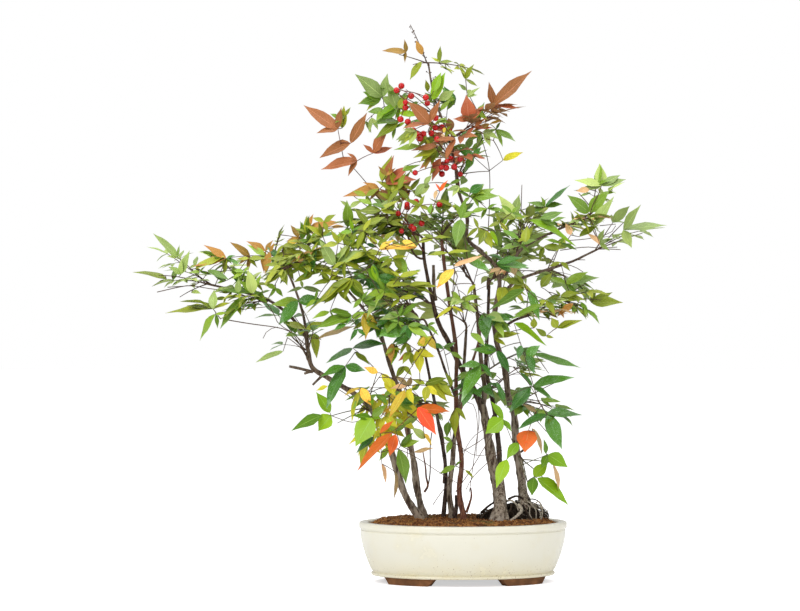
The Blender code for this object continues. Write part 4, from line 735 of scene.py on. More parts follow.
class GroundSettings(bpy.types.PropertyGroup):
    """Soil and old roots."""
    soil: colour_property("Soil", (0.13, 0.045, 0.014), "Moist fired clay granules")
    soil_light: colour_property("Dry soil", (0.42, 0.19, 0.055), "Dry granules")
    moss: colour_property("Moss", (0.11, 0.12, 0.03), "Moss between the granules")
    root: colour_property("Old root", (0.055, 0.035, 0.022), "Dark old roots")
    pale_root: colour_property("Pale root", (0.62, 0.54, 0.43), "Weathered bare roots")


class BarkSettings(bpy.types.PropertyGroup):
    """Bark of the stems and boughs."""
    ridge: colour_property("Ridge", (0.37, 0.30, 0.23), "Weathered grey ridge of the bark")
    furrow: colour_property("Furrow", (0.065, 0.04, 0.026), "Brown furrow of the bark")
    red_ridge: colour_property("Red ridge", (0.24, 0.105, 0.06), "Ridge of the reddish stem")
    red_furrow: colour_property("Red furrow", (0.10, 0.03, 0.02), "Furrow of the reddish stem")
    dark_ridge: colour_property("Dark ridge", (0.12, 0.08, 0.065), "Ridge of the dark stems")
    dark_furrow: colour_property("Dark furrow", (0.03, 0.018, 0.014), "Furrow of the dark stems")
    relief: FloatProperty(
        name="Relief", description="Height of the bark's ridges, as a share of the radius",
        default=0.2, min=0.0, max=0.5)


class LeafSettings(bpy.types.PropertyGroup):
    """Leaf shape and tints."""
    blade_width: FloatProperty(
        name="Blade width", description="Width of a leaflet as a share of its length",
        default=0.38, min=0.1, max=0.6)
    fold: FloatProperty(
        name="Fold", description="How far a leaflet folds up along its midrib",
        default=0.24, min=0.0, max=1.0)
    droop: FloatProperty(
        name="Droop", description="How far a leaflet's tip bends down, as a share of its length",
        default=0.14, min=0.0, max=0.6)
    green: colour_property("Green", (0.20, 0.35, 0.02), "Mid green sprays")
    dark: colour_property("Dark", (0.07, 0.23, 0.012), "Dark glossy low sprays")
    olive: colour_property("Olive", (0.29, 0.36, 0.02), "Olive sprays of the pads")
    pale: colour_property("Pale", (0.40, 0.53, 0.14), "Pale green outer sprays")
    lime: colour_property("Lime", (0.195, 0.385, 0.005), "Bright young sprays")
    bronze: colour_property("Bronze", (0.43, 0.14, 0.045), "Copper sprays of the crown")
    russet: colour_property("Russet", (0.42, 0.23, 0.035), "Brown-tinged sprays of the left pads")
    autumn: colour_property("Yellow", (0.64, 0.62, 0.03), "Yellow autumn sprays")
    amber: colour_property("Amber", (0.90, 0.62, 0.07), "Spotted orange-yellow sprays")
    peach: colour_property("Peach", (0.80, 0.50, 0.24), "Dry curled sprays")
    scarlet: colour_property("Scarlet", (0.98, 0.15, 0.022), "Scarlet sprays")


class FruitSettings(bpy.types.PropertyGroup):
    """Berries."""
    radius: FloatProperty(
        name="Radius", description="Radius of a berry in millimetres", default=4.0, min=1.0, max=8.0)
    skin: colour_property("Skin", (0.60, 0.002, 0.004), "Ripe skin")


class StageSettings(bpy.types.PropertyGroup):
    """Floor, lights and camera."""
    floor: colour_property("Floor", (0.93, 0.93, 0.93), "Pale floor")
    glow: FloatProperty(name="Glow", description="Light that the floor gives off to the camera", default=0.62)
    key: FloatProperty(name="Key", description="Power of the key light", default=42.0, unit="POWER")
    fill: FloatProperty(name="Fill", description="Power of the fill light", default=13.0, unit="POWER")
    overhead: FloatProperty(name="Overhead", description="Power of the top light", default=34.0, unit="POWER")
    sky: FloatProperty(name="Sky", description="Strength of the even light all round", default=0.56)
    backdrop: FloatProperty(name="Backdrop", description="Brightness of the sky that shows", default=1.0)


class BonsaiSettings(bpy.types.PropertyGroup):
    """All that a user would change."""
    pot: PointerProperty(type=PotSettings)
    ground: PointerProperty(type=GroundSettings)
    bark: PointerProperty(type=BarkSettings)
    leaf: PointerProperty(type=LeafSettings)
    fruit: PointerProperty(type=FruitSettings)
    stage: PointerProperty(type=StageSettings)


# Paths and frames


def smooth_path(points, spacing):
    """Points at an even spacing on a smooth curve through the given points."""
    points = [Vector(p) for p in points]
    ends = [points[0] * 2 - points[1]] + points + [points[-1] * 2 - points[-2]]
    fine = []
    for before, start, end, after in zip(ends, ends[1:], ends[2:], ends[3:]):
        for step in range(CURVE_STEPS):
            t = step / CURVE_STEPS
            fine.append(0.5 * (
                2 * start + (end - before) * t
                + (2 * before - 5 * start + 4 * end - after) * t ** 2
                + (3 * start - before - 3 * end + after) * t ** 3))
    fine.append(points[-1])
    return even_path(fine, spacing)


def even_path(fine, spacing):
    """Resample a fine polyline to a whole number of even steps."""
    lengths = run_lengths(fine)
    count = max(2, round(lengths[-1] / spacing))
    path = []
    index = 0
    for step in range(count + 1):
        wanted = lengths[-1] * step / count
        while index < len(fine) - 2 and lengths[index + 1] < wanted:
            index += 1
        span = lengths[index + 1] - lengths[index]
        share = (wanted - lengths[index]) / span if span else 0.0
        path.append(fine[index].lerp(fine[index + 1], share))
    return path


def ring_frames(path, radii):
    """A matrix for each ring: its size, its place, and its axis along the path."""
    tangents = []
    for index in range(len(path)):
        ahead = path[min(index + 1, len(path) - 1)]
        behind = path[max(index - 1, 0)]
        tangents.append((ahead - behind).normalized())
    side = tangents[0].orthogonal()
    frames = []
    for place, tangent, radius in zip(path, tangents, radii):
        side = (side - tangent * side.dot(tangent)).normalized()
        turn = Matrix((side, tangent.cross(side), tangent)).transposed().to_4x4()
        frames.append(Matrix.Translation(place) @ turn @ Matrix.Scale(radius, 4))
    return frames


def sweep(bm, frames, sides):
    """A closed tube: one ring carried from frame to frame by extrusion. Returns its rings."""
    ring = bmesh.ops.create_circle(bm, segments=sides, radius=1.0, matrix=frames[0])["verts"]
    edges = list({edge for vertex in ring for edge in vertex.link_edges})
    bmesh.ops.contextual_create(bm, geom=edges)
    rings = [ring]
    for now, following in zip(frames, frames[1:]):
        grown = bmesh.ops.extrude_edge_only(bm, edges=edges)["geom"]
        ring = [part for part in grown if isinstance(part, bmesh.types.BMVert)]
        edges = [part for part in grown if isinstance(part, bmesh.types.BMEdge)
                 and all(vertex in ring for vertex in part.verts)]
        bmesh.ops.transform(bm, matrix=following @ now.inverted(), verts=ring)
        rings.append(ring)
    bmesh.ops.contextual_create(bm, geom=edges)
    return rings


def bezier(start, control, end, steps):
    """Points on a quadratic curve."""
    return [
        start.lerp(control, i / steps).lerp(control.lerp(end, i / steps), i / steps)
        for i in range(steps + 1)]


def tapered(start, end, steps):
    """Radii that run evenly from one to another."""
    return [start + (end - start) * i / steps for i in range(steps + 1)]


def circle_point(angle):
    """Point on the unit circle."""
    return Vector((math.cos(angle), math.sin(angle), 0.0))


def scattered(rng, spread):
    """A vector with each part drawn within a spread."""
    return Vector([rng.uniform(-spread, spread) for _ in range(3)])


def swerving(start, end, heading):
    """A heading at right angles to a start's own, towards an end."""
    away = end - start
    return (away - heading * away.dot(heading)).normalized()


def run_lengths(path):
    """Length of a path up to each of its points."""
    runs = [0.0]
    for a, b in zip(path, path[1:]):
        runs.append(runs[-1] + (b - a).length)
    return runs


def along_path(path, share):
    """Place and direction at a share of a path's steps."""
    place = share * (len(path) - 1)
    index = min(int(place), len(path) - 2)
    return path[index].lerp(path[index + 1], place - index), (path[index + 1] - path[index]).normalized()


def turned(vector, axis, angle):
    """A vector turned about an axis."""
    return Matrix.Rotation(angle, 3, axis) @ vector


def outward(place):
    """Level direction away from the plant's middle line."""
    flat = Vector((place.x + 40.0, place.y * 1.6, 0.0))
    return flat.normalized() if flat.length > 1.0 else Vector((0.0, -1.0, 0.0))


def left_open(place):
    """Whether the photograph's camera sees a gap where a point of the crown would stand."""
    eye = Vector(CAMERA_PLACE)
    seen = eye + (place - eye) * (eye.y / (eye.y - place.y))
    return any(math.hypot(seen.x - across, seen.z - height) < radius for across, height, radius in OPEN)


def plane(lean, direction):
    """Normal of a leaf's plane for a direction that lies in it."""
    return (lean - direction * lean.dot(direction)).normalized()


# Objects


def link_piece(mesh, materials, nodes=()):
    """Link a finished mesh, with its place in its vertices, as a piece on the one body."""
    for material in materials:
        mesh.materials.append(material)
    item = bpy.data.objects.new(mesh.name, mesh)
    bpy.context.scene.collection.objects.link(item)
    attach(item, "root")
    if nodes:
        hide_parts(*nodes)


def mesh_from(bm, name):
    """A smooth-shaded mesh in metres from a bmesh in millimetres."""
    bmesh.ops.scale(bm, vec=(MM, MM, MM), verts=bm.verts)
    bmesh.ops.translate(bm, vec=MIDDLE, verts=bm.verts)
    mesh = bpy.data.meshes.new(name)
    bm.to_mesh(mesh)
    bm.free()
    mesh.shade_smooth()
    mesh.set_sharp_from_angle(angle=SHARP_ANGLE)
    return mesh


class Bundle:
    """Many small shapes in one mesh, gathered as arrays in millimetres."""

    def __init__(self):
        self.places = []
        self.faces = []

    def add(self, places, faces):
        """One more closed shape."""
        first = len(self.places)
        self.places.extend(places)
        self.faces.extend([first + corner for corner in face] for face in faces)

    def add_tube(self, path, start_radius, end_radius, sides=5):
        """A tapering twig."""
        steps = len(path) - 1
        circle = [circle_point(math.tau * i / sides) for i in range(sides)]
        frames = ring_frames(path, tapered(start_radius, end_radius, steps))
        places = [frame @ corner for frame in frames for corner in circle]
        faces = [list(reversed(range(sides))), [steps * sides + i for i in range(sides)]]
        for first in range(0, steps * sides, sides):
            for i in range(sides):
                j = (i + 1) % sides
                faces.append([first + i, first + j, first + sides + j, first + sides + i])
        self.add(places, faces)

    def mesh(self, name):
        """The joined mesh, in metres."""
        mesh = bpy.data.meshes.new(name)
        places = np.array([tuple(place) for place in self.places]) * MM + np.array(MIDDLE)
        mesh.from_pydata(places.tolist(), [], self.faces)
        mesh.shade_smooth()
        return mesh


# Materials


class Nodes:
    """Short calls for building a node tree."""

    def __init__(self, tree):
        self.tree = tree

    def add(self, kind, inputs=None, **settings):
        """One node with its settings and its input values or links."""
        node = self.tree.nodes.new(kind)
        for key, value in settings.items():
            setattr(node, key, value)
        for key, value in (inputs or {}).items():
            if isinstance(value, bpy.types.NodeSocket):
                self.tree.links.new(value, node.inputs[key])
            else:
                node.inputs[key].default_value = value
        return node

    def link(self, output, entry):
        """Join two sockets."""
        self.tree.links.new(output, entry)

    def maths(self, operation, first, second=0.0, third=0.0):
        """The result of one Math node."""
        return self.add("ShaderNodeMath", {0: first, 1: second, 2: third}, operation=operation).outputs[0]

    def plus(self, first, second):
        """A sum."""
        return self.maths("ADD", first, second)

    def times(self, first, second):
        """A product."""
        return self.maths("MULTIPLY", first, second)

    def mixed(self, factor, first, second):
        """Two colours mixed."""
        return self.add("ShaderNodeMix", {0: factor, 6: first, 7: second}, data_type="RGBA").outputs[2]

    def ranged(self, value, low, high, to_low=0.0, to_high=1.0):
        """A value mapped smoothly from one range to another."""
        node = self.add(
            "ShaderNodeMapRange",
            {"Value": value, "From Min": low, "From Max": high, "To Min": to_low, "To Max": to_high},
            interpolation_type="SMOOTHSTEP")
        return node.outputs[0]

    def place(self):
        """Place on the object, in metres."""
        return self.add("ShaderNodeTexCoord").outputs["Object"]

    def noise(self, vector, scale, detail=3.0, rough=0.5):
        """Fractal noise between 0 and 1."""
        node = self.add(
            "ShaderNodeTexNoise", {"Vector": vector, "Scale": scale, "Detail": detail, "Roughness": rough})
        return node.outputs["Fac"]


def opaque(colour):
    """A colour with full alpha."""
    return (*colour, 1.0)


def new_group(name, entries, results):
    """An empty shader group with its inputs' defaults, colours or numbers, and the names of its outputs."""
    group = bpy.data.node_groups.new(name, "ShaderNodeTree")
    for label, default in entries.items():
        coloured = isinstance(default, tuple)
        kind = "NodeSocketColor" if coloured else "NodeSocketFloat"
        socket = group.interface.new_socket(label, in_out="INPUT", socket_type=kind)
        socket.default_value = opaque(default) if coloured else default
    for label in results:
        kind = "NodeSocketColor" if label == "Color" else "NodeSocketFloat"
        group.interface.new_socket(label, in_out="OUTPUT", socket_type=kind)
    nodes = Nodes(group)
    return group, nodes, nodes.add("NodeGroupInput").outputs, nodes.add("NodeGroupOutput").inputs


def leaf_group():
    """Blade colour with midrib, side veins, tone, blotches and a paler underside; on the dark tint the pale
    blotch spots are painted glints of light.
    """
    group, nodes, given, out = new_group("Leaf blade", {
        "Blade": (0.1, 0.2, 0.05), "Rib": (0.3, 0.4, 0.1), "Underside": (0.2, 0.3, 0.1),
        "Blotch and glint": (0.5, 0.1, 0.02), "Blotch and glint amount": 0.0, "Tone spread": 0.75, "Roughness": 0.4,
    }, ("Color", "Roughness", "Height"))
    blade = nodes.add("ShaderNodeSeparateColor", {
        0: nodes.add("ShaderNodeAttribute", attribute_name="blade").outputs["Color"]}).outputs
    tone = nodes.add("ShaderNodeAttribute", attribute_name="tone").outputs["Fac"]
    across, along, under = blade[0], blade[1], blade[2]
    place = nodes.place()
    off_middle = nodes.maths("ABSOLUTE", nodes.maths("SUBTRACT", across, 0.5))
    rib = nodes.ranged(off_middle, 0.035, 0.0)
    slant = nodes.plus(nodes.times(along, 9.0), nodes.times(off_middle, -5.0))
    wave = nodes.maths("SINE", nodes.times(slant, math.tau))
    vein = nodes.times(nodes.ranged(wave, 0.82, 1.0), nodes.ranged(off_middle, 0.5, 0.3))
    cloud = nodes.noise(place, 95.0, 2.0)
    lift = nodes.plus(tone, nodes.times(cloud, 0.5))
    lift = nodes.maths("MULTIPLY_ADD", nodes.maths("SUBTRACT", lift, 0.75), given["Tone spread"], 1.0)
    # Spots and tip patches in the blotch colour: the tints' own blotches, and on the dark tint pale specks
    # that are painted glints of light
    spots = nodes.noise(place, 1300.0, 2.0, 0.6)
    patches = nodes.noise(place, 120.0, 2.0)
    spotted = nodes.ranged(nodes.plus(spots, nodes.times(patches, 0.3)), 0.72, 0.82)
    tipped = nodes.ranged(nodes.plus(along, nodes.times(patches, 0.7)), 1.05, 1.4)
    blotch_and_glint_mask = nodes.times(nodes.maths("MAXIMUM", spotted, tipped), given["Blotch and glint amount"])
    colour = nodes.add("ShaderNodeHueSaturation", {
        "Color": nodes.mixed(blotch_and_glint_mask, given["Blade"], given["Blotch and glint"]), "Value": lift,
        "Hue": nodes.maths("MULTIPLY_ADD", nodes.maths("SUBTRACT", tone, 0.5), -0.03, 0.5)}).outputs[0]
    colour = nodes.mixed(nodes.times(vein, 0.22), colour, given["Rib"])
    colour = nodes.mixed(nodes.times(rib, 0.85), colour, given["Rib"])
    colour = nodes.mixed(nodes.times(under, 0.75), colour, given["Underside"])
    nodes.link(colour, out["Color"])
    dull = nodes.plus(nodes.times(under, 0.18), nodes.times(cloud, 0.14))
    nodes.link(nodes.plus(given["Roughness"], dull), out["Roughness"])
    height = nodes.plus(nodes.times(rib, -0.8), nodes.times(vein, -0.35))
    nodes.link(nodes.plus(height, nodes.times(spots, 0.15)), out["Height"])
    return group


def bark_group():
    """Fissured bark: ridges drawn out along the stem, with grain and lichen-grey wear."""
    group, nodes, given, out = new_group("Fissured bark", {
        "Ridge": (0.3, 0.25, 0.2), "Furrow": (0.08, 0.05, 0.04), "Scale": 420.0, "Stretch": 0.16, "Wear": 0.3,
    }, ("Color", "Roughness", "Height"))
    place = nodes.place()
    parts = nodes.add("ShaderNodeSeparateXYZ", {0: place}).outputs
    drawn = nodes.add("ShaderNodeCombineXYZ", {
        0: parts[0], 1: parts[1], 2: nodes.times(parts[2], given["Stretch"])}).outputs[0]
    ridges = nodes.noise(drawn, given["Scale"], 5.0, 0.62)
    grain = nodes.noise(place, 1500.0, 3.0, 0.6)
    patches = nodes.noise(place, 60.0, 3.0)
    height = nodes.plus(ridges, nodes.times(grain, 0.25))
    depth = nodes.ranged(height, 0.50, 0.74)
    colour = nodes.mixed(depth, given["Furrow"], given["Ridge"])
    worn = nodes.ranged(nodes.plus(patches, nodes.times(ridges, 0.4)), 0.66, 0.86)
    colour = nodes.mixed(nodes.times(worn, given["Wear"]), colour, opaque((0.44, 0.39, 0.33)))
    upper = nodes.ranged(parts[2], 0.19, 0.27, 0.0, 0.72)
    colour = nodes.mixed(upper, colour, nodes.mixed(depth, given["Furrow"], opaque((0.13, 0.075, 0.045))))
    nodes.link(colour, out["Color"])
    nodes.link(nodes.ranged(depth, 0.0, 1.0, 0.95, 0.78), out["Roughness"])
    nodes.link(height, out["Height"])
    return group


def granule_group():
    """Colour of fired clay granules, from moist to dry, with a little moss."""
    group, nodes, given, out = new_group("Clay granules", {
        "Moist": (0.1, 0.04, 0.02), "Dry": (0.3, 0.15, 0.08), "Moss": (0.1, 0.12, 0.03),
    }, ("Color", "Height"))
    place = nodes.place()
    cells = nodes.add("ShaderNodeTexVoronoi", {"Vector": place, "Scale": 330.0})
    shade = nodes.add("ShaderNodeSeparateColor", {0: cells.outputs["Color"]}).outputs[0]
    colour = nodes.mixed(nodes.ranged(shade, 0.25, 1.0), given["Moist"], given["Dry"])
    patches = nodes.noise(place, 34.0, 4.0, 0.6)
    colour = nodes.mixed(nodes.ranged(patches, 0.56, 0.68, 0.0, 0.65), colour, given["Moss"])
    nodes.link(colour, out["Color"])
    fine = nodes.noise(place, 900.0, 4.0, 0.65)
    nodes.link(nodes.maths("SUBTRACT", fine, cells.outputs["Distance"]), out["Height"])
    return group


def principled(name, **values):
    """A new material with its Principled shader and plain socket values."""
    material = bpy.data.materials.new(name)
    material.use_nodes = True
    shader = material.node_tree.nodes["Principled BSDF"]
    for key, value in values.items():
        shader.inputs[key.replace("_", " ").title().replace("Ior", "IOR")].default_value = value
    return material, Nodes(material.node_tree), shader.inputs


def lead_to_shader(nodes, entries, colour, roughness, height, strength, distance):
    """Lead a colour, a roughness where there is one, and a bump to the shader."""
    nodes.link(colour, entries["Base Color"])
    if roughness is not None:
        nodes.link(roughness, entries["Roughness"])
    bump = nodes.add("ShaderNodeBump", {"Height": height, "Strength": strength, "Distance": distance})
    nodes.link(bump.outputs[0], entries["Normal"])


def use_group(nodes, name, make, values):
    """The outputs of the shared group of that name, made once, with this material's own values."""
    group = bpy.data.node_groups.get(name) or make()
    return nodes.add("ShaderNodeGroup", values, node_tree=group).outputs


def leaf_material(tint):
    """Waxy leaf in one tint: green leaves gloss more than dry ones."""
    base = getattr(bpy.context.scene.bonsai.leaf, tint)
    rib = tuple(min(1.0, part * 1.5 + 0.09) for part in base)
    underside = tuple(part * 0.55 + pale for part, pale in zip(base, (0.11, 0.13, 0.06)))
    # The dark tint's pale blotch colour paints glints of light on its blades; the other tints' blotches are
    # their own colour
    blotch_and_glint, amount = BLOTCHES_AND_GLINTS[tint]
    rough = LEAF_ROUGHNESS.get(tint, DRY_ROUGHNESS)
    coat = WAXY_COAT if tint in LEAF_ROUGHNESS else DRY_COAT
    material, nodes, entries = principled(
        f"leaf_{tint}", specular_ior_level=0.3, coat_weight=coat, coat_roughness=0.15)
    blade = use_group(nodes, "Leaf blade", leaf_group, {
        "Blade": opaque(base), "Rib": opaque(rib), "Underside": opaque(underside), "Blotch and glint": opaque(blotch_and_glint),
        "Blotch and glint amount": amount, "Roughness": rough})
    lead_to_shader(nodes, entries, blade["Color"], blade["Roughness"], blade["Height"], 0.5, 0.0006)
    return material


def bark_material(name, ridge, furrow, scale, stretch, bump, wear=0.0):
    """Bark in one pair of colours."""
    material, nodes, entries = principled(name, specular_ior_level=0.25)
    bark = use_group(nodes, "Fissured bark", bark_group, {
        "Ridge": opaque(ridge), "Furrow": opaque(furrow), "Scale": scale, "Stretch": stretch, "Wear": wear})
    lead_to_shader(nodes, entries, bark["Color"], bark["Roughness"], bark["Height"], 0.9, bump)
    return material


def twig_material(name, ridge, furrow):
    """Bark so fine that it only tints a twig or stalk."""
    return bark_material(name, ridge, furrow, 900.0, 0.6, 0.0002)


def bark_finishes():
    """The three barks of the stems and boughs."""
    bark = bpy.context.scene.bonsai.bark
    return {
        "bark": bark_material("grey_bark", bark.ridge, bark.furrow, 330.0, 0.2, 0.0016, 0.3),
        "red_bark": bark_material("red_bark", bark.red_ridge, bark.red_furrow, 420.0, 0.3, 0.0008, 0.12),
        "dark_bark": bark_material("dark_bark", bark.dark_ridge, bark.dark_furrow, 420.0, 0.25, 0.001, 0.12),
    }


def glaze_material():
    """Cream glaze: cloudy, warmer towards the foot, with iron specks towards the base."""
    pot = bpy.context.scene.bonsai.pot
    material, nodes, entries = principled(
        "cream_glaze", specular_ior_level=0.5, coat_weight=0.35, coat_roughness=0.12)
    place = nodes.place()
    height = nodes.add("ShaderNodeSeparateXYZ", {0: place}).outputs[2]
    cloud = nodes.noise(place, 22.0, 4.0, 0.6)
    low = nodes.ranged(height, 0.040, 0.010)
    warm = nodes.plus(nodes.times(low, 0.4), nodes.ranged(cloud, 0.45, 0.75, 0.0, 0.35))
    colour = nodes.mixed(warm, opaque(pot.glaze), opaque(pot.warm_glaze))
    grains = nodes.noise(place, 640.0, 2.0)
    clusters = nodes.noise(place, 45.0, 3.0)
    crowd = nodes.plus(nodes.times(low, 0.10), nodes.times(clusters, 0.12))
    specks = nodes.ranged(nodes.plus(grains, crowd), 0.79, 0.86)
    colour = nodes.mixed(nodes.times(specks, 0.75), colour, opaque(pot.speck))
    rough = nodes.maths("MULTIPLY_ADD", cloud, 0.12, pot.roughness - 0.06)
    ripple = nodes.plus(nodes.noise(place, 70.0, 2.0), nodes.times(specks, -0.2))
    lead_to_shader(nodes, entries, colour, rough, ripple, 0.16, 0.0012)
    return material


def clay_material():
    """Bare dark clay of the feet and underside."""
    material, nodes, entries = principled("bare_clay", specular_ior_level=0.3)
    clay = bpy.context.scene.bonsai.pot.clay
    place = nodes.place()
    grit = nodes.noise(place, 700.0, 4.0, 0.65)
    cloud = nodes.noise(place, 60.0, 3.0)
    pale = tuple(part * 1.9 for part in clay)
    colour = nodes.mixed(nodes.ranged(cloud, 0.35, 0.7), opaque(clay), opaque(pale))
    colour = nodes.mixed(nodes.ranged(grit, 0.6, 0.75, 0.0, 0.5), colour, opaque((0.05, 0.03, 0.02)))
    lead_to_shader(nodes, entries, colour, nodes.ranged(grit, 0.3, 0.7, 0.7, 0.9), grit, 0.5, 0.0006)
    return material


def soil_material():
    """Fired clay granules."""
    ground = bpy.context.scene.bonsai.ground
    material, nodes, entries = principled("clay_granules", roughness=0.92, specular_ior_level=0.25)
    grains = use_group(nodes, "Clay granules", granule_group, {
        "Moist": opaque(ground.soil), "Dry": opaque(ground.soil_light), "Moss": opaque(ground.moss)})
    lead_to_shader(nodes, entries, grains["Color"], None, grains["Height"], 0.8, 0.0012)
    return material


def berry_material():
    """Glossy red skin, a little darker in patches, with fine dots."""
    fruit = bpy.context.scene.bonsai.fruit
    material, nodes, entries = principled(
        "berry_skin", specular_ior_level=0.35, coat_weight=0.25, coat_roughness=0.06)
    place = nodes.place()
    cloud = nodes.noise(place, 90.0, 2.0)
    dark = tuple(part * 0.45 for part in fruit.skin)
    colour = nodes.mixed(nodes.ranged(cloud, 0.4, 0.7, 0.0, 0.7), opaque(fruit.skin), opaque(dark))
    dots = nodes.noise(place, 1600.0, 1.0)
    colour = nodes.mixed(nodes.ranged(dots, 0.68, 0.78, 0.0, 0.4), colour, opaque((0.8, 0.25, 0.12)))
    lead_to_shader(nodes, entries, colour, nodes.ranged(cloud, 0.3, 0.7, 0.2, 0.32), dots, 0.15, 0.0003)
    return material


# Pot


def oval_ring(inset, height):
    """Frame of an oval ring, set in from the rim's outline."""
    size = Matrix.Diagonal((POT_LENGTH / 2 - inset, POT_DEPTH / 2 - inset, 1.0, 1.0))
    return Matrix.Translation((0.0, 0.0, height)) @ size


def wall_inset(height):
    """How far the wall has drawn in from the rim at a height."""
    top = POT_HEIGHT - LIP_HEIGHT - LIP_ROUND
    fall = max(0.0, top - height) / (top - FOOT_HEIGHT - BEAD_HEIGHT)
    return LIP_OVERHANG + WALL_TUCK * fall ** WALL_CURVE


def arc(middle_inset, middle_height, radius, start, end, steps):
    """Profile points on an arc: angle 0 points outwards, a quarter turn points up."""
    return [(middle_inset - radius * math.cos(math.radians(angle)),
             middle_height + radius * math.sin(math.radians(angle))) for angle in tapered(start, end, steps)]


def pot_profile():
    """From the middle of the underside out, up to the rolled lip, and down inside to the floor."""
    base = FOOT_HEIGHT
    bead = wall_inset(base + BEAD_HEIGHT)
    lip = POT_HEIGHT - LIP_HEIGHT
    profile = [(60.0, base), (bead + 6.0, base), (bead + 1.2, base)]
    profile += arc(bead + 0.2, base + BEAD_HEIGHT / 2, BEAD_HEIGHT / 2, -90.0, 90.0, 8)
    profile.append((bead + 0.9, base + BEAD_HEIGHT + 0.5))
    wall = tapered(base + BEAD_HEIGHT + 0.5, lip - 1.6, WALL_STEPS)[1:]
    profile += [(wall_inset(height), height) for height in wall]
    profile.append((LIP_OVERHANG + 0.9, lip - 0.8))
    profile += arc(LIP_ROUND, lip + LIP_ROUND, LIP_ROUND, -80.0, 0.0, 6)
    profile += arc(LIP_ROUND, POT_HEIGHT - LIP_ROUND, LIP_ROUND, 0.0, 90.0, 8)
    profile += arc(RIM_LAND - LIP_ROUND, POT_HEIGHT - LIP_ROUND, -LIP_ROUND, -90.0, 0.0, 6)
    for height in (SOIL_EDGE - 1.0, 48.0, 30.0):
        profile.append((max(RIM_LAND, wall_inset(height) + WALL_THICKNESS), height))
    floor = FOOT_HEIGHT + FLOOR_THICKNESS
    profile.append((wall_inset(floor) + WALL_THICKNESS + 8.0, floor))
    profile.append((70.0, floor))
    return profile


def add_foot(bm, depth_sign, side_sign):
    """A foot under the base, curved with the pot, slanted at its ends and eased at its edges."""
    top = FOOT_HEIGHT + 1.0
    inner = FOOT_INSET + FOOT_WIDTH
    corners = [(FOOT_INSET, top), (FOOT_INSET + 1.5, 0.0), (inner, 0.0), (inner, top)]
    profile = []
    for step in range(FOOT_STEPS + 1):
        share = step / FOOT_STEPS
        row = []
        for inset, height in corners:
            slant = FOOT_SLANT if height == 0.0 else 0.0
            angle = FOOT_FROM + slant + (FOOT_TO - FOOT_FROM - 2 * slant) * share
            place = oval_ring(inset, height) @ circle_point(angle)
            row.append(bm.verts.new((place.x * side_sign, place.y * depth_sign, place.z)))
        profile.append(row)
    faces = [bm.faces.new(profile[0]), bm.faces.new(profile[-1])]
    for row, following in zip(profile, profile[1:]):
        for corner in range(4):
            after = (corner + 1) % 4
            faces.append(bm.faces.new((row[corner], row[after], following[after], following[corner])))
    for face in faces:
        face.material_index = 1
    low = [edge for face in faces for edge in face.edges
           if min(vertex.co.z for vertex in edge.verts) < 1.0 and len(edge.link_faces) == 2
           and edge.calc_face_angle(0.0) > math.radians(35.0)]
    bmesh.ops.bevel(
        bm, geom=list(set(low)), offset=0.9, segments=3, profile=0.5, affect="EDGES", material=-1)


def make_pot():
    """Shell of the pot with its four feet, smooth and round-lipped."""
    bm = bmesh.new()
    sweep(bm, [oval_ring(inset, height) for inset, height in pot_profile()], POT_SIDES)
    bmesh.ops.recalc_face_normals(bm, faces=bm.faces)
    for face in bm.faces:
        if face.calc_center_median().z < FOOT_HEIGHT + 0.2 and face.normal.z < -0.7:
            face.material_index = 1
    for depth_sign in (-1, 1):
        for side_sign in (-1, 1):
            add_foot(bm, depth_sign, side_sign)
    bmesh.ops.recalc_face_normals(bm, faces=bm.faces)
    bmesh.ops.rotate(bm, matrix=Matrix.Rotation(POT_TURN, 3, "Z"), verts=bm.verts)
    link_piece(mesh_from(bm, "pot_glazed"), [glaze_material(), clay_material()], ["pot"])


# Soil and roots


def soil_profile():
    """From the floor up the wall and in over the shoulder to the flat mound."""
    profile = [(40.0, 20.0), (32.0, 30.0), (RIM_LAND + 8.0, 45.0), (RIM_LAND + 0.4, SOIL_EDGE - 4.0)]
    for step in range(SOIL_RINGS + 1):
        inset = RIM_LAND + 0.4 + (SOIL_MIDDLE - RIM_LAND - 0.4) * (step / SOIL_RINGS) ** 1.2
        profile.append((inset, soil_height(inset)))
    return profile


def soil_height(inset):
    """Height of the soil at a distance in from the rim's outline."""
    if inset < SHOULDER_INSET:
        share = max(0.0, inset - RIM_LAND) / (SHOULDER_INSET - RIM_LAND)
        return SOIL_EDGE + (SOIL_SHOULDER - SOIL_EDGE) * share
    share = min(1.0, (inset - SHOULDER_INSET) / (PLATEAU_INSET - SHOULDER_INSET))
    return SOIL_SHOULDER + (SOIL_LEVEL - 0.4 - SOIL_SHOULDER) * share


def soil_unevenness(x, y):
    """Small rises and dips of the soil."""
    return 1.1 * noise.noise(Vector((x * 0.06, y * 0.06, 3.0))) + 0.6 * noise.noise(
        Vector((x * 0.22, y * 0.22, 9.0)))


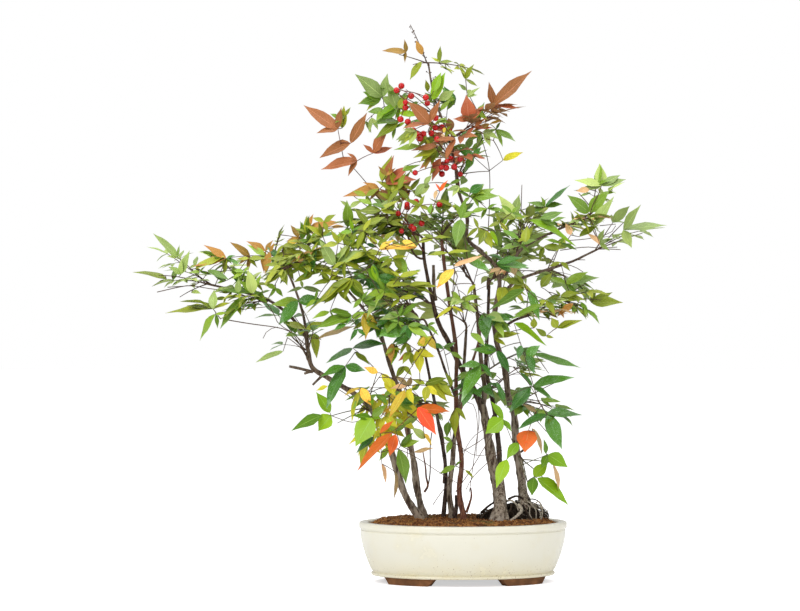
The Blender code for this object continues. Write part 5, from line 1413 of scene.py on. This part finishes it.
def make_soil():
    """Uneven mound of soil with loose granules and dry fibres on it."""
    bm = bmesh.new()
    rings = sweep(bm, [oval_ring(inset, height) for inset, height in soil_profile()], SOIL_SIDES)
    for ring in rings[4:]:
        for vertex in ring:
            vertex.co.z += soil_unevenness(vertex.co.x, vertex.co.y) - 0.5
    bmesh.ops.recalc_face_normals(bm, faces=bm.faces)
    bmesh.ops.rotate(bm, matrix=Matrix.Rotation(POT_TURN, 3, "Z"), verts=bm.verts)
    soil = soil_material()
    link_piece(mesh_from(bm, "soil_mound"), [soil], ["soil"])
    granules = Bundle()
    fibres = Bundle()
    ball = small_ball(1)
    rng = random.Random(SOIL_SEED)
    turn = Matrix.Rotation(POT_TURN, 3, "Z")
    for _ in range(GRANULES):
        inset = RIM_LAND + 1.5 + (POT_DEPTH / 2 - RIM_LAND) * (1.0 - math.sqrt(rng.random()))
        place = oval_ring(inset, 0.0) @ circle_point(rng.uniform(0.0, math.tau))
        radius = rng.uniform(*GRANULE_SIZE) * (LARGER if rng.random() < LARGE_SHARE else 1.0)
        height = soil_height(inset) + soil_unevenness(place.x, place.y) - 0.5 + 0.15 * radius
        if height + radius > SOIL_LEVEL + 1.6:
            continue
        shape = [turn @ (Vector((place.x, place.y, height)) + point * radius * rng.uniform(0.75, 1.15))
                 for point in ball[0]]
        granules.add(shape, ball[1])
    for _ in range(FIBRES):
        inset = RIM_LAND + 3.0 + 80.0 * (1.0 - math.sqrt(rng.random()))
        place = oval_ring(inset, 0.0) @ circle_point(rng.uniform(0.0, math.tau))
        place.z = soil_height(inset) + soil_unevenness(place.x, place.y) + 0.4
        heading = Vector((rng.uniform(-1, 1), rng.uniform(-1, 1), rng.uniform(-0.05, 0.35))).normalized()
        reach = rng.uniform(*FIBRE_REACH)
        bend = Vector((rng.uniform(-2, 2), rng.uniform(-2, 2), rng.uniform(0.0, 2.0)))
        path = bezier(place, place + heading * reach * 0.5 + bend, place + heading * reach, 4)
        fibres.add_tube([turn @ point for point in path], *FIBRE_RADII, 4)
    link_piece(granules.mesh("soil_granules"), [soil])
    straw = bark_material("dry_fibre", (0.36, 0.26, 0.15), (0.16, 0.10, 0.05), 900.0, 1.0, 0.0002)
    link_piece(fibres.mesh("soil_fibres"), [straw])


def small_ball(subdivisions):
    """Places and faces of a unit icosphere."""
    bm = bmesh.new()
    bmesh.ops.create_icosphere(bm, subdivisions=subdivisions, radius=1.0)
    places = [vertex.co.copy() for vertex in bm.verts]
    faces = [[vertex.index for vertex in face.verts] for face in bm.faces]
    bm.free()
    return places, faces


def mound_rise(across):
    """Height of the lump at a share of its half length: low at the left, full at the stems."""
    return MOUND_LOW + (1.0 - MOUND_LOW) * min(1.0, max(0.0, (across + 0.9) / 0.9))


def make_roots():
    """Lump of old roots with strands that run over it and into the soil."""
    ground = bpy.context.scene.bonsai.ground
    rng = random.Random(ROOT_SEED)
    bm = bmesh.new()
    bmesh.ops.create_icosphere(bm, subdivisions=5, radius=1.0)
    for vertex in bm.verts:
        lump = noise.noise(vertex.co * 2.3) * 0.16 + noise.noise(vertex.co * 7.0) * 0.10
        strand = abs(noise.noise(Vector((vertex.co.x * 14.0, vertex.co.y * 14.0, vertex.co.z * 5.0)))) * 0.10
        vertex.co *= 0.90 + lump - strand
        vertex.co.z *= mound_rise(vertex.co.x)
    bmesh.ops.scale(bm, vec=MOUND_SIZE, verts=bm.verts)
    bmesh.ops.translate(bm, vec=(*MOUND_PLACE, SOIL_LEVEL - MOUND_SINK - 1.0), verts=bm.verts)
    bmesh.ops.bisect_plane(
        bm, geom=bm.verts[:] + bm.edges[:] + bm.faces[:], plane_co=(0.0, 0.0, SOIL_LEVEL - 3.0),
        plane_no=(0.0, 0.0, 1.0), clear_inner=True)
    bmesh.ops.contextual_create(bm, geom=[edge for edge in bm.edges if edge.is_boundary])
    bmesh.ops.recalc_face_normals(bm, faces=bm.faces)
    dark = bark_material("old_root", ground.root, tuple(p * 0.25 for p in ground.root), 520.0, 0.5, 0.0016)
    link_piece(mesh_from(bm, "root_lump"), [dark], ["root_mound"])
    strands = {"dark": Bundle(), "pale": Bundle(), "flare": Bundle()}
    foot = Vector((*MOUND_PLACE, SOIL_LEVEL - MOUND_SINK))
    for number in range(ROOT_STRANDS):
        angle = rng.uniform(0.0, math.tau)
        rise = rng.uniform(0.6, 1.45)
        drift = rng.uniform(-1.5, 1.5) if number % 4 == 0 else rng.uniform(-0.4, 0.4)
        stand = rng.uniform(0.85, 1.02)
        points = []
        for step in range(6):
            share = step / 5
            level = rise * (1.0 - share) - 0.12 * share
            around = circle_point(angle + drift * share + rng.uniform(-0.2, 0.2))
            swell = stand * rng.uniform(0.9, 1.1)
            points.append(foot + Vector((
                around.x * math.cos(level) * MOUND_SIZE[0] * swell,
                around.y * math.cos(level) * MOUND_SIZE[1] * swell,
                math.sin(level) * MOUND_SIZE[2] * swell * mound_rise(around.x))))
        kind = "pale" if around.x > 0.3 and rng.random() < PALE_SHARE else "dark"
        radius = rng.choice((0.4, 0.5, 0.7, 0.9)) * (1.0 if kind == "pale" else 1.3)
        strands[kind].add_tube(smooth_path(points, ROOT_SPACING), radius, radius * 0.5, 6)
    for points, radius, kind in ROOT_LOOPS:
        strands[kind].add_tube(smooth_path(points, ROOT_SPACING), radius, radius * 0.6, 8)
    pale = bark_material(
        "pale_root", ground.pale_root, tuple(p * 0.35 for p in ground.pale_root), 700.0, 0.6, 0.0006)
    link_piece(strands["dark"].mesh("root_strands_dark"), [dark])
    link_piece(strands["pale"].mesh("root_strands_pale"), [pale])
    bark = bpy.context.scene.bonsai.bark
    flare = bark_material("root_flare", bark.ridge, bark.furrow, 420.0, 0.4, 0.0014, 0.5)
    link_piece(strands["flare"].mesh("root_flares"), [flare])


# Limbs


class LimbCourse:
    """A stem's or bough's path with its radius at any run along it."""

    def __init__(self, limb, seed):
        rng = random.Random(seed)
        self.limb = limb
        self.rooted = limb.points[0][2] <= SOIL_LEVEL
        self.path = smooth_path(limb.points, RING_SPACING)
        self.length = run_lengths(self.path)[-1]
        self.knobs = [1.0 + rng.uniform(-KNOBBLE, KNOBBLE) for _ in self.path]

    def radius(self, run):
        """Taper, flare at the foot and uneven girth."""
        share = min(1.0, max(0.0, run / self.length))
        flare = 1.0 + self.limb.flare * math.exp(-max(0.0, run) / FLARE_LENGTH)
        place = share * (len(self.knobs) - 1)
        index = min(int(place), len(self.knobs) - 2)
        knob = self.knobs[index] + (self.knobs[index + 1] - self.knobs[index]) * (place - index)
        return (self.limb.base + (self.limb.tip - self.limb.base) * share ** 0.85) * flare * knob


def grow_limbs():
    """The course of every stem and bough, by name."""
    return {limb.name: LimbCourse(limb, LIMB_SEED + number) for number, limb in enumerate(LIMBS)}


def bark_height(finish, angle, run, seed, relief):
    """Relief of the bark as a share of the radius: ridges, grain, leaf scars and lumps."""
    around = circle_point(angle)
    ridge = noise.noise(Vector((around.x * 2.6, around.y * 2.6, run * 0.05 + seed)))
    grain = noise.noise(Vector((around.x * 5.5, around.y * 5.5, run * 0.2 + seed * 3.0)))
    lump = noise.noise(Vector((seed, 0.7, run * 0.055)))
    scar = math.exp(-((run + seed * 7.0) % SCAR_SPACING[finish] - 4.0) ** 2 / 3.0)
    return relief * ROUGHNESS_OF[finish] * (ridge + 0.6 * grain + 0.9 * lump) + SCAR_HEIGHT * scar


def bark_tube(bm, path, radii, finish, seed, sides=BARK_SIDES):
    """A stem with its bark's relief."""
    relief = bpy.context.scene.bonsai.bark.relief
    frames = ring_frames(path, radii)
    rings = sweep(bm, frames, sides)
    for now, ring, run in zip(frames, rings, run_lengths(path)):
        back = now.inverted()
        for vertex in ring:
            flat = back @ vertex.co
            height = bark_height(finish, math.atan2(flat.y, flat.x), run, seed, relief)
            vertex.co = now @ (flat * (1.0 + height))


def make_limbs():
    """Every stem and bough with fissured bark, and the stubs and small shoots on them."""
    finishes = bark_finishes()
    for number, course in enumerate(grow_limbs().values()):
        limb = course.limb
        path = smooth_path(limb.points, FINE_SPACING)
        radii = [course.radius(run) for run in run_lengths(path)]
        if course.rooted:
            path.insert(0, path[0] - UP * ROOTED_DEPTH)
            radii.insert(0, radii[0] * 1.06)
        bm = bmesh.new()
        bark_tube(bm, path, radii, limb.finish, number * 1.7 + 0.3)
        bmesh.ops.recalc_face_normals(bm, faces=bm.faces)
        link_piece(mesh_from(bm, f"{limb.name}_bark"), [finishes[limb.finish]],
                   [limb.name])
    for finish in BARK_SLOTS:
        bm = bmesh.new()
        for number, (kind, start, end, points) in enumerate(STUBS):
            if kind == finish:
                path = smooth_path(points, STUB_SPACING)
                radii = tapered(start, end, len(path) - 1)
                bark_tube(bm, path, radii, finish, number * 2.9 + 0.4, STUB_SIDES)
        bmesh.ops.recalc_face_normals(bm, faces=bm.faces)
        link_piece(mesh_from(bm, f"stubs_{finish}"), [finishes[finish]])


# Foliage


class Growth:
    """What grows: twigs by colour and leaflets by tint."""

    def __init__(self):
        self.twigs = {"brown": Bundle(), "red": Bundle(), "green": Bundle()}
        self.leaves = {tint: [] for tint in LEAF_SLOTS}

    def add_leaf(self, tint, root, heading, lean, length, rng):
        """One leaflet, with its own small turn, fold, droop and tone, unless it would fill a gap."""
        heading = heading.normalized()
        if left_open(root + heading * length * 0.5) or left_open(root + heading * length):
            return
        lean = lean + scattered(rng, 0.25)
        settings = bpy.context.scene.bonsai.leaf
        self.leaves[tint].append(Leaf(
            root, heading, plane(lean, heading), length,
            settings.blade_width * rng.uniform(0.86, 1.14), settings.droop * rng.uniform(0.2, 1.8),
            settings.fold * rng.uniform(0.3, 1.5), rng.random()))

    def add_three(self, tint, node, heading, lean, length, rng):
        """A leaflet ahead and two beside it."""
        self.add_leaf(tint, node, heading, lean, length, rng)
        for sign in (-1, 1):
            side = turned(heading, plane(lean, heading), sign * LATERAL_ANGLE * rng.uniform(0.82, 1.1))
            self.add_leaf(
                tint, node - heading * 1.5, side - UP * LEAF_SAG, lean, length * rng.uniform(0.66, 0.86), rng)


def deal(tint, rng):
    """The tint that a spray gets."""
    choices = DEALT[tint]
    return rng.choices([choice for choice, _ in choices], [weight for _, weight in choices])[0]


def twig_colour(tint):
    """Colour of the rachis that carries leaves of a tint."""
    return TWIG_COLOURS.get(tint, "brown")


def grow_spray(growth, tint, base, aim, leaf, lean, rng):
    """A compound leaf: an arched rachis with a group of three at its tip and stalked groups in pairs.

    Returns the rachis.
    """
    reach = aim - base
    colour = twig_colour(tint)
    blade = leaf * TERMINAL_SHARE
    end = (reach.normalized() - UP * TIP_SAG).normalized()
    last = aim - end * blade
    arch = UP * reach.length * rng.uniform(0.02, 0.09)
    path = bezier(base, base.lerp(last, 0.5) + arch, last, 7)
    growth.twigs[colour].add_tube(path, *RACHIS_RADII)
    if leaf == 0.0:
        return path
    growth.add_three(tint, last, end, lean, blade, rng)
    length = (last - base).length
    count = max(1, min(3, round(length / PAIR_SPACING)))
    for number in range(count):
        share = 1.0 - (number + 0.75) / (count + 0.4)
        node, tangent = along_path(path, share + rng.uniform(-0.03, 0.03))
        for sign in (-1, 1):
            heading = turned(tangent, plane(lean, tangent), sign * PAIR_ANGLE * rng.uniform(0.8, 1.1))
            heading = (heading - UP * LEAF_SAG).normalized()
            tip = node + heading * leaf * STALK_SHARE * (1.0 + 0.35 * number) * rng.uniform(0.8, 1.2)
            if left_open(tip) or left_open(tip + heading * blade * 0.5):
                continue
            bend = node.lerp(tip, 0.5) + UP * leaf * 0.03
            growth.twigs[colour].add_tube(bezier(node, bend, tip, 3), *SIDE_STALK_RADII, 4)
            growth.add_three(tint, tip, heading, lean, blade * rng.uniform(0.66, 0.86), rng)
    return path


def tips_of(group):
    """Where a group's leaves end, across and up."""
    across, height, *steps = group[3:]
    return [(across + aside, height + above) for aside, above in zip(steps[::2], steps[1::2])]


def place_group(growth, skeleton, group, rng):
    """Leaves in their own places on a stalk from the nearest twig."""
    tint, depth, hundredths, *middle = group[:5]
    width = hundredths / 100
    node = Vector((middle[0], depth, middle[1]))
    nearest = min(skeleton, key=lambda place: (place - node).length)
    reach = (node - nearest).length
    if reach > 1.0:
        bend = nearest.lerp(node, 0.5) + UP * reach * rng.uniform(-0.04, 0.12)
        path = bezier(nearest, bend, node, max(3, round(reach / TWIG_SPACING)))
        growth.twigs[twig_colour(tint)].add_tube(path, *STALK_RADII)
        skeleton.extend(path[1:])
    face = min(MOST_FACING, width / TRUE_WIDTH)
    for across, height in tips_of(group):
        flat = math.hypot(across - node.x, height - node.z)
        heading = Vector((across, depth + flat * rng.uniform(-0.45, 0.3), height)) - node
        beside = heading.cross(FORWARD).normalized()
        if beside.z < 0.0:
            beside.negate()
        lean = beside * math.sqrt(1.0 - face ** 2) - FORWARD * face + scattered(rng, 0.12)
        growth.leaves[tint].append(Leaf(
            node, heading.normalized(), plane(lean, heading.normalized()), heading.length,
            width / face * rng.uniform(0.98, 1.12), rng.uniform(-0.05, 0.1), rng.uniform(0.1, 0.35),
            rng.random()))


def grow_mass(growth, mass, limbs, seed, detail):
    """A mass by the solids' own rule and draws, then its finer sprays within the same reach."""
    rng = random.Random(seed)
    fine = random.Random(detail)
    placed = PLACED.get(mass.name, [])
    aims = [Vector(aim) for aim in mass.aims]
    target = sum(aims, Vector()) / len(aims)
    start, heading = along_path(limbs[mass.limb].path, mass.share)
    if mass.share < 1.0:
        heading = swerving(start, target, heading)
    hub = start.lerp(target, HUB_SHARE)
    path = bezier(start, start + heading * max(STEM_SWEEP, 0.5 * (hub - start).length), hub, 6)
    growth.twigs["brown"].add_tube(path, *HUB_RADII, 6)
    skeleton = list(path)
    tips = [tip for group in placed for tip in tips_of(group)]
    for number, aim in enumerate(aims):
        base, _ = along_path(path, 1.0 - SPRAY_SPACING * number / len(aims))
        reach = aim - base
        leaf = 0.0 if number < mass.bare else min(mass.leaflet * LEAF_GROWTH, LEAFLET_SHARE * reach.length)
        lean = SPRAY_FACING.get(mass.name) or (UP * LEAN_UP + outward(aim) * LEAN_OUT)
        lean = lean + scattered(rng, LEAN_SPREAD)
        if leaf:
            # Where the solids' rule sizes a spray's side leaflets
            for _ in range(SIDE_LEAFLETS):
                rng.random()
        if leaf and any(math.hypot(x - aim.x, z - aim.z) < OWN_PLACE for x, z in tips):
            aim = base.lerp(aim, SHORTENED)
            leaf = 0.0
        skeleton += grow_spray(growth, deal(mass.tint, fine), base, aim, leaf, lean, fine)
    for group in placed:
        place_group(growth, skeleton, group, fine)
    for _ in range(MORE_SPRAYS.get(mass.name, USUAL_MORE)):
        one, other = fine.sample(aims, 2)
        aim = one.lerp(other, fine.uniform(0.2, 0.8))
        base, _ = along_path(path, fine.uniform(0.2, 0.9))
        aim = base.lerp(aim, fine.uniform(0.65, 1.0)) + scattered(fine, FINE_SPREAD)
        if (aim - base).length < LEAST_REACH:
            aim = base.lerp(one, 0.96)
        if left_open(aim) or left_open(base.lerp(aim, 0.75)):
            continue
        leaf = min(mass.leaflet * LEAF_GROWTH * FINE_LEAF, LEAFLET_SHARE * (aim - base).length)
        lean = UP * FINE_UP + outward(aim) * FINE_OUT + scattered(fine, LEAN_SPREAD)
        grow_spray(growth, deal(mass.tint, fine), base, aim, leaf, lean, fine)


def blade_faces():
    """Faces of one leaflet with each corner's place on it: across, along, underside."""
    rows = len(LEAF_STATIONS)
    columns = len(LEAF_COLUMNS)

    def corner(row, column, under):
        across = LEAF_COLUMNS[column] * 0.5 + 0.5
        return 2 + row * columns + column, (across, LEAF_STATIONS[row], under)

    faces = []
    for column in range(columns):
        after = (column + 1) % columns
        under = 1.0 if column >= RIM else 0.0
        root = (0, (0.5, 0.0, under))
        tip = (1, (0.5, 1.0, under))
        faces.append([root, corner(0, column, under), corner(0, after, under)])
        faces.append([corner(rows - 1, column, under), tip, corner(rows - 1, after, under)])
        for row in range(rows - 1):
            faces.append([
                corner(row, column, under), corner(row + 1, column, under),
                corner(row + 1, after, under), corner(row, after, under)])
    return faces


def blade_outline(t):
    """Half width of a leaflet at a share of its length, as a share of the widest."""
    return (t / WIDEST) ** ROOT_POWER * ((1.0 - t) / (1.0 - WIDEST)) ** TIP_POWER


def leaf_places(leaves):
    """Corner places of all leaflets at once, in millimetres."""
    count = len(leaves)
    root, ahead, up = (np.array([leaf[part] for leaf in leaves]) for part in range(3))
    side = np.cross(up, ahead)
    length, width, droop, fold, tone = np.array([leaf[3:] for leaf in leaves]).T[:, :, None]
    places = np.zeros((count, 2 + len(LEAF_STATIONS) * len(LEAF_COLUMNS), 3))
    places[:, 0] = root
    places[:, 1] = root + ahead * length * (1.0 - 0.3 * droop) - up * length * droop
    for row, t in enumerate(LEAF_STATIONS):
        middle = root + ahead * length * t * (1.0 - 0.3 * droop * t) - up * length * droop * t ** 2
        half = 0.5 * width * length * blade_outline(t)
        for column, across in enumerate(LEAF_COLUMNS):
            out = abs(across)
            ripple = RIPPLE * np.sin(9.0 * t + 7.0 * tone + math.copysign(1.0, across)) * out
            rise = half * (fold * out + ripple + BLADE_ARCH * out * (1.0 - out))
            if column == MIDRIB:
                rise = rise + RIB_HEIGHT
            if column == UNDERSIDE:
                rise = rise - BLADE_DEPTH
            places[:, 2 + row * len(LEAF_COLUMNS) + column] = middle + side * half * across + up * rise
    return places


def leaf_mesh(name, leaves):
    """All leaflets of one tint in one mesh, with each corner's place on its blade."""
    places = leaf_places(leaves)
    count, size, _ = places.shape
    faces = blade_faces()
    corners = np.array([index for face in faces for index, _ in face])
    totals = np.array([len(face) for face in faces])
    loops = (corners[None, :] + size * np.arange(count)[:, None]).ravel()
    starts = np.concatenate(([0], np.cumsum(np.tile(totals, count))[:-1]))
    mesh = bpy.data.meshes.new(name)
    mesh.vertices.add(count * size)
    corners_in_metres = places.reshape(-1, 3) * MM + np.array(MIDDLE)
    mesh.vertices.foreach_set("co", corners_in_metres.ravel().astype(np.float32))
    mesh.loops.add(len(loops))
    mesh.loops.foreach_set("vertex_index", loops.astype(np.int32))
    mesh.polygons.add(len(starts))
    mesh.polygons.foreach_set("loop_start", starts.astype(np.int32))
    mesh.update(calc_edges=True)
    mesh.shade_smooth()
    blade = np.array([(*place, 1.0) for face in faces for _, place in face])
    mesh.attributes.new("blade", "FLOAT_COLOR", "CORNER").data.foreach_set(
        "color", np.tile(blade, (count, 1)).ravel().astype(np.float32))
    tone = np.repeat([leaf.tone for leaf in leaves], len(faces))
    mesh.attributes.new("tone", "FLOAT", "FACE").data.foreach_set("value", tone.astype(np.float32))
    ends = np.zeros(len(mesh.edges) * 2, np.int32)
    mesh.edges.foreach_get("vertices", ends)
    column = (ends % size - 2) % len(LEAF_COLUMNS)
    rim = (ends % size < 2) | (column == 0) | (column == RIM)
    mesh.attributes.new("sharp_edge", "BOOLEAN", "EDGE").data.foreach_set("value", rim.reshape(-1, 2).all(1))
    return mesh


def add_buds(growth, rng):
    """Dried flower buds on short stalks along the bare tip and the stem under it."""
    bead = small_ball(1)
    for start, end, count, spread in BUDDED:
        for number in range(count):
            base = Vector(start).lerp(Vector(end), (number + rng.random() * 0.6) / count)
            stalk = scattered(rng, 1.0).normalized() * spread * rng.uniform(0.5, 1.0)
            bud = base + stalk + UP * spread * 0.3
            growth.twigs["brown"].add_tube([base, base.lerp(bud, 0.6), bud], 0.35, 0.3, 4)
            radius = rng.uniform(0.8, 1.3)
            growth.twigs["brown"].add([bud + point * radius for point in bead[0]], bead[1])


def make_foliage():
    """Every mass of foliage, its leaflets joined by tint and its twigs by colour."""
    limbs = grow_limbs()
    growth = Growth()
    for number, mass in enumerate(MASSES):
        if mass.tint != "berry":
            grow_mass(growth, mass, limbs, FOLIAGE_SEED + number, DETAIL_SEED + number)
    for depth, radius, points in BARE_TWIGS:
        path = smooth_path([(across, depth, height) for across, height in points], TWIG_SPACING)
        growth.twigs["brown"].add_tube(path, radius, radius * 0.8)
    add_buds(growth, random.Random(BUD_SEED))
    for tint, leaves in growth.leaves.items():
        if leaves:
            nodes = [f"foliage_{mass.name}" for mass in MASSES if mass.tint == tint]
            link_piece(leaf_mesh(f"leaves_{tint}", leaves), [leaf_material(tint)], nodes)
    for colour, ridge, furrow, slot in (
            ("brown", (0.17, 0.105, 0.07), (0.06, 0.035, 0.025), "dark_bark"),
            ("red", (0.30, 0.09, 0.05), (0.12, 0.03, 0.02), "red_bark"),
            ("green", (0.16, 0.17, 0.08), (0.08, 0.07, 0.04), "dark_bark")):
        material = twig_material(f"twig_{colour}", ridge, furrow)
        link_piece(growth.twigs[colour].mesh(f"twigs_{colour}"), [material])


# Fruit


def make_fruit():
    """Loose panicles of berries on thin red stalks."""
    limbs = grow_limbs()
    berries = Bundle()
    stalks = Bundle()
    scars = Bundle()
    ball = small_ball(2)
    bead = small_ball(1)
    radius = bpy.context.scene.bonsai.fruit.radius
    rng = random.Random(FRUIT_SEED)
    skeleton = []
    for limb, share, aim in PANICLES:
        start, heading = along_path(limbs[limb].path, share)
        aim = Vector(aim)
        swerve = swerving(start, aim, heading) * PANICLE_SWEEP
        path = bezier(start, start + swerve + UP * PANICLE_RISE, aim, PANICLE_STEPS)
        stalks.add_tube(path, 1.2, 0.7, 6)
        skeleton += path[2:]
    for across, height in BERRIES:
        end = Vector((across, BERRY_DEPTH + rng.uniform(-BERRY_SPREAD, BERRY_SPREAD), height))
        base = min(skeleton, key=lambda place: (place - end).length)
        sag = base.lerp(end, 0.55) + Vector((rng.uniform(-3, 3), rng.uniform(-3, 3), 2.5))
        stalk = bezier(base, sag, end, 5)
        stalks.add_tube(stalk, 0.6, 0.45, 5)
        skeleton += stalk[1:3]
        own = radius * rng.uniform(0.86, 1.06)
        berries.add([end + point * own for point in ball[0]], ball[1])
        tip = end + (end - stalk[-2]).normalized() * own * 0.97
        scars.add([tip + point * 0.5 for point in bead[0]], bead[1])
    link_piece(berries.mesh("berries"), [berry_material()], ["foliage_berries"])
    red = twig_material("stalk_red", (0.32, 0.08, 0.05), (0.14, 0.03, 0.02))
    link_piece(stalks.mesh("berry_stalks"), [red])
    dark = twig_material("berry_scar_dark", (0.06, 0.02, 0.015), (0.02, 0.008, 0.006))
    link_piece(scars.mesh("berry_scars"), [dark])


# Stage


def make_stage():
    """Pale round floor that meets an equally pale sky, soft lights and the photograph's camera."""
    stage = bpy.context.scene.bonsai.stage
    material, nodes, entries = principled("studio_floor", roughness=0.7, specular_ior_level=0.2)
    entries["Base Color"].default_value = opaque(stage.floor)
    entries["Emission Color"].default_value = opaque(stage.floor)
    seen = nodes.add("ShaderNodeLightPath").outputs["Is Camera Ray"]
    nodes.link(nodes.times(seen, stage.glow), entries["Emission Strength"])
    bm = bmesh.new()
    bmesh.ops.create_circle(bm, cap_ends=True, segments=96, radius=FLOOR_RADIUS)
    bmesh.ops.recalc_face_normals(bm, faces=bm.faces)
    mesh = bpy.data.meshes.new("studio_floor")
    bm.to_mesh(mesh)
    bm.free()
    mesh.materials.append(material)
    floor = bpy.data.objects.new("studio_floor", mesh)
    bpy.context.scene.collection.objects.link(floor)
    add_light("key", (-1.5, -2.2, 2.0), 1.6, stage.key)
    add_light("fill", (1.9, -1.9, 1.1), 1.8, stage.fill)
    add_light("overhead", (0.0, 0.2, 2.4), 2.4, stage.overhead)
    world = bpy.data.worlds.new("studio")
    world.use_nodes = True
    background = world.node_tree.nodes["Background"].inputs
    background["Color"].default_value = opaque((1.0, 1.0, 1.0))
    sky = Nodes(world.node_tree)
    seen = sky.add("ShaderNodeLightPath").outputs["Is Camera Ray"]
    sky.link(sky.maths("MULTIPLY_ADD", seen, stage.backdrop - stage.sky, stage.sky), background["Strength"])
    bpy.context.scene.world = world
    bpy.context.scene.view_settings.view_transform = "Standard"
    camera = bpy.data.cameras.new("photo_camera")
    camera.lens = CAMERA_LENS
    camera.sensor_width = CAMERA_SENSOR
    camera.clip_end = 50.0
    item = bpy.data.objects.new("photo_camera", camera)
    item.location = MIDDLE + Vector(CAMERA_PLACE) * MM
    item.rotation_euler = (math.radians(90.0), 0.0, 0.0)
    bpy.context.scene.collection.objects.link(item)
    bpy.context.scene.camera = item


def add_light(name, place, size, power):
    """A square soft light that faces the plant."""
    lamp = bpy.data.lights.new(name, "AREA")
    lamp.size = size
    lamp.energy = power
    item = bpy.data.objects.new(name, lamp)
    item.location = place
    aim = Vector((0.0, 0.0, 0.35)) - Vector(place)
    item.rotation_euler = aim.to_track_quat("-Z", "Y").to_euler()
    bpy.context.scene.collection.objects.link(item)


# Add-on


class BONSAI_OT_pot(bpy.types.Operator):
    """Make the glazed pot with its feet"""
    bl_idname = "bonsai.pot"
    bl_label = "Pot"

    def execute(self, context):
        make_pot()
        return {"FINISHED"}


class BONSAI_OT_soil(bpy.types.Operator):
    """Make the soil with its granules and fibres"""
    bl_idname = "bonsai.soil"
    bl_label = "Soil"

    def execute(self, context):
        make_soil()
        return {"FINISHED"}


class BONSAI_OT_roots(bpy.types.Operator):
    """Make the lump of old roots"""
    bl_idname = "bonsai.roots"
    bl_label = "Roots"

    def execute(self, context):
        make_roots()
        return {"FINISHED"}


class BONSAI_OT_limbs(bpy.types.Operator):
    """Make the stems and boughs with their bark"""
    bl_idname = "bonsai.limbs"
    bl_label = "Stems and boughs"

    def execute(self, context):
        make_limbs()
        return {"FINISHED"}


class BONSAI_OT_foliage(bpy.types.Operator):
    """Grow the twigs and leaves"""
    bl_idname = "bonsai.foliage"
    bl_label = "Foliage"

    def execute(self, context):
        make_foliage()
        return {"FINISHED"}


class BONSAI_OT_fruit(bpy.types.Operator):
    """Make the berries on their stalks"""
    bl_idname = "bonsai.fruit"
    bl_label = "Fruit"

    def execute(self, context):
        make_fruit()
        return {"FINISHED"}


class BONSAI_OT_stage(bpy.types.Operator):
    """Set up the floor, lights and camera"""
    bl_idname = "bonsai.stage"
    bl_label = "Stage"

    def execute(self, context):
        make_stage()
        return {"FINISHED"}


class BONSAI_PT_panel(bpy.types.Panel):
    """Settings and steps of the bonsai"""
    bl_label = "Heavenly Bamboo Bonsai"
    bl_idname = "BONSAI_PT_panel"
    bl_space_type = "VIEW_3D"
    bl_region_type = "UI"
    bl_category = "Bonsai"

    def draw(self, context):
        settings = context.scene.bonsai
        for group, operator in SECTIONS:
            box = self.layout.box()
            if group:
                values = getattr(settings, group)
                for name in values.__annotations__:
                    box.prop(values, name)
            box.operator(operator)


SECTIONS = (
    ("pot", "bonsai.pot"), ("ground", "bonsai.soil"), (None, "bonsai.roots"), ("bark", "bonsai.limbs"),
    ("leaf", "bonsai.foliage"), ("fruit", "bonsai.fruit"), ("stage", "bonsai.stage"),
)
CLASSES = (
    PotSettings, GroundSettings, BarkSettings, LeafSettings, FruitSettings, StageSettings, BonsaiSettings,
    BONSAI_OT_pot, BONSAI_OT_soil, BONSAI_OT_roots, BONSAI_OT_limbs, BONSAI_OT_foliage, BONSAI_OT_fruit,
    BONSAI_OT_stage, BONSAI_PT_panel,
)


def register():
    """Register the classes and the scene's settings."""
    for item in CLASSES:
        bpy.utils.register_class(item)
    bpy.types.Scene.bonsai = PointerProperty(type=BonsaiSettings)


def unregister():
    """Take the settings and classes away again."""
    del bpy.types.Scene.bonsai
    for item in reversed(CLASSES):
        bpy.utils.unregister_class(item)


def main():
    """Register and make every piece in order."""
    register()
    bpy.ops.bonsai.pot()
    bpy.ops.bonsai.soil()
    bpy.ops.bonsai.roots()
    bpy.ops.bonsai.limbs()
    bpy.ops.bonsai.foliage()
    bpy.ops.bonsai.fruit()
    bpy.ops.bonsai.stage()


if __name__ == "__main__":
    main()
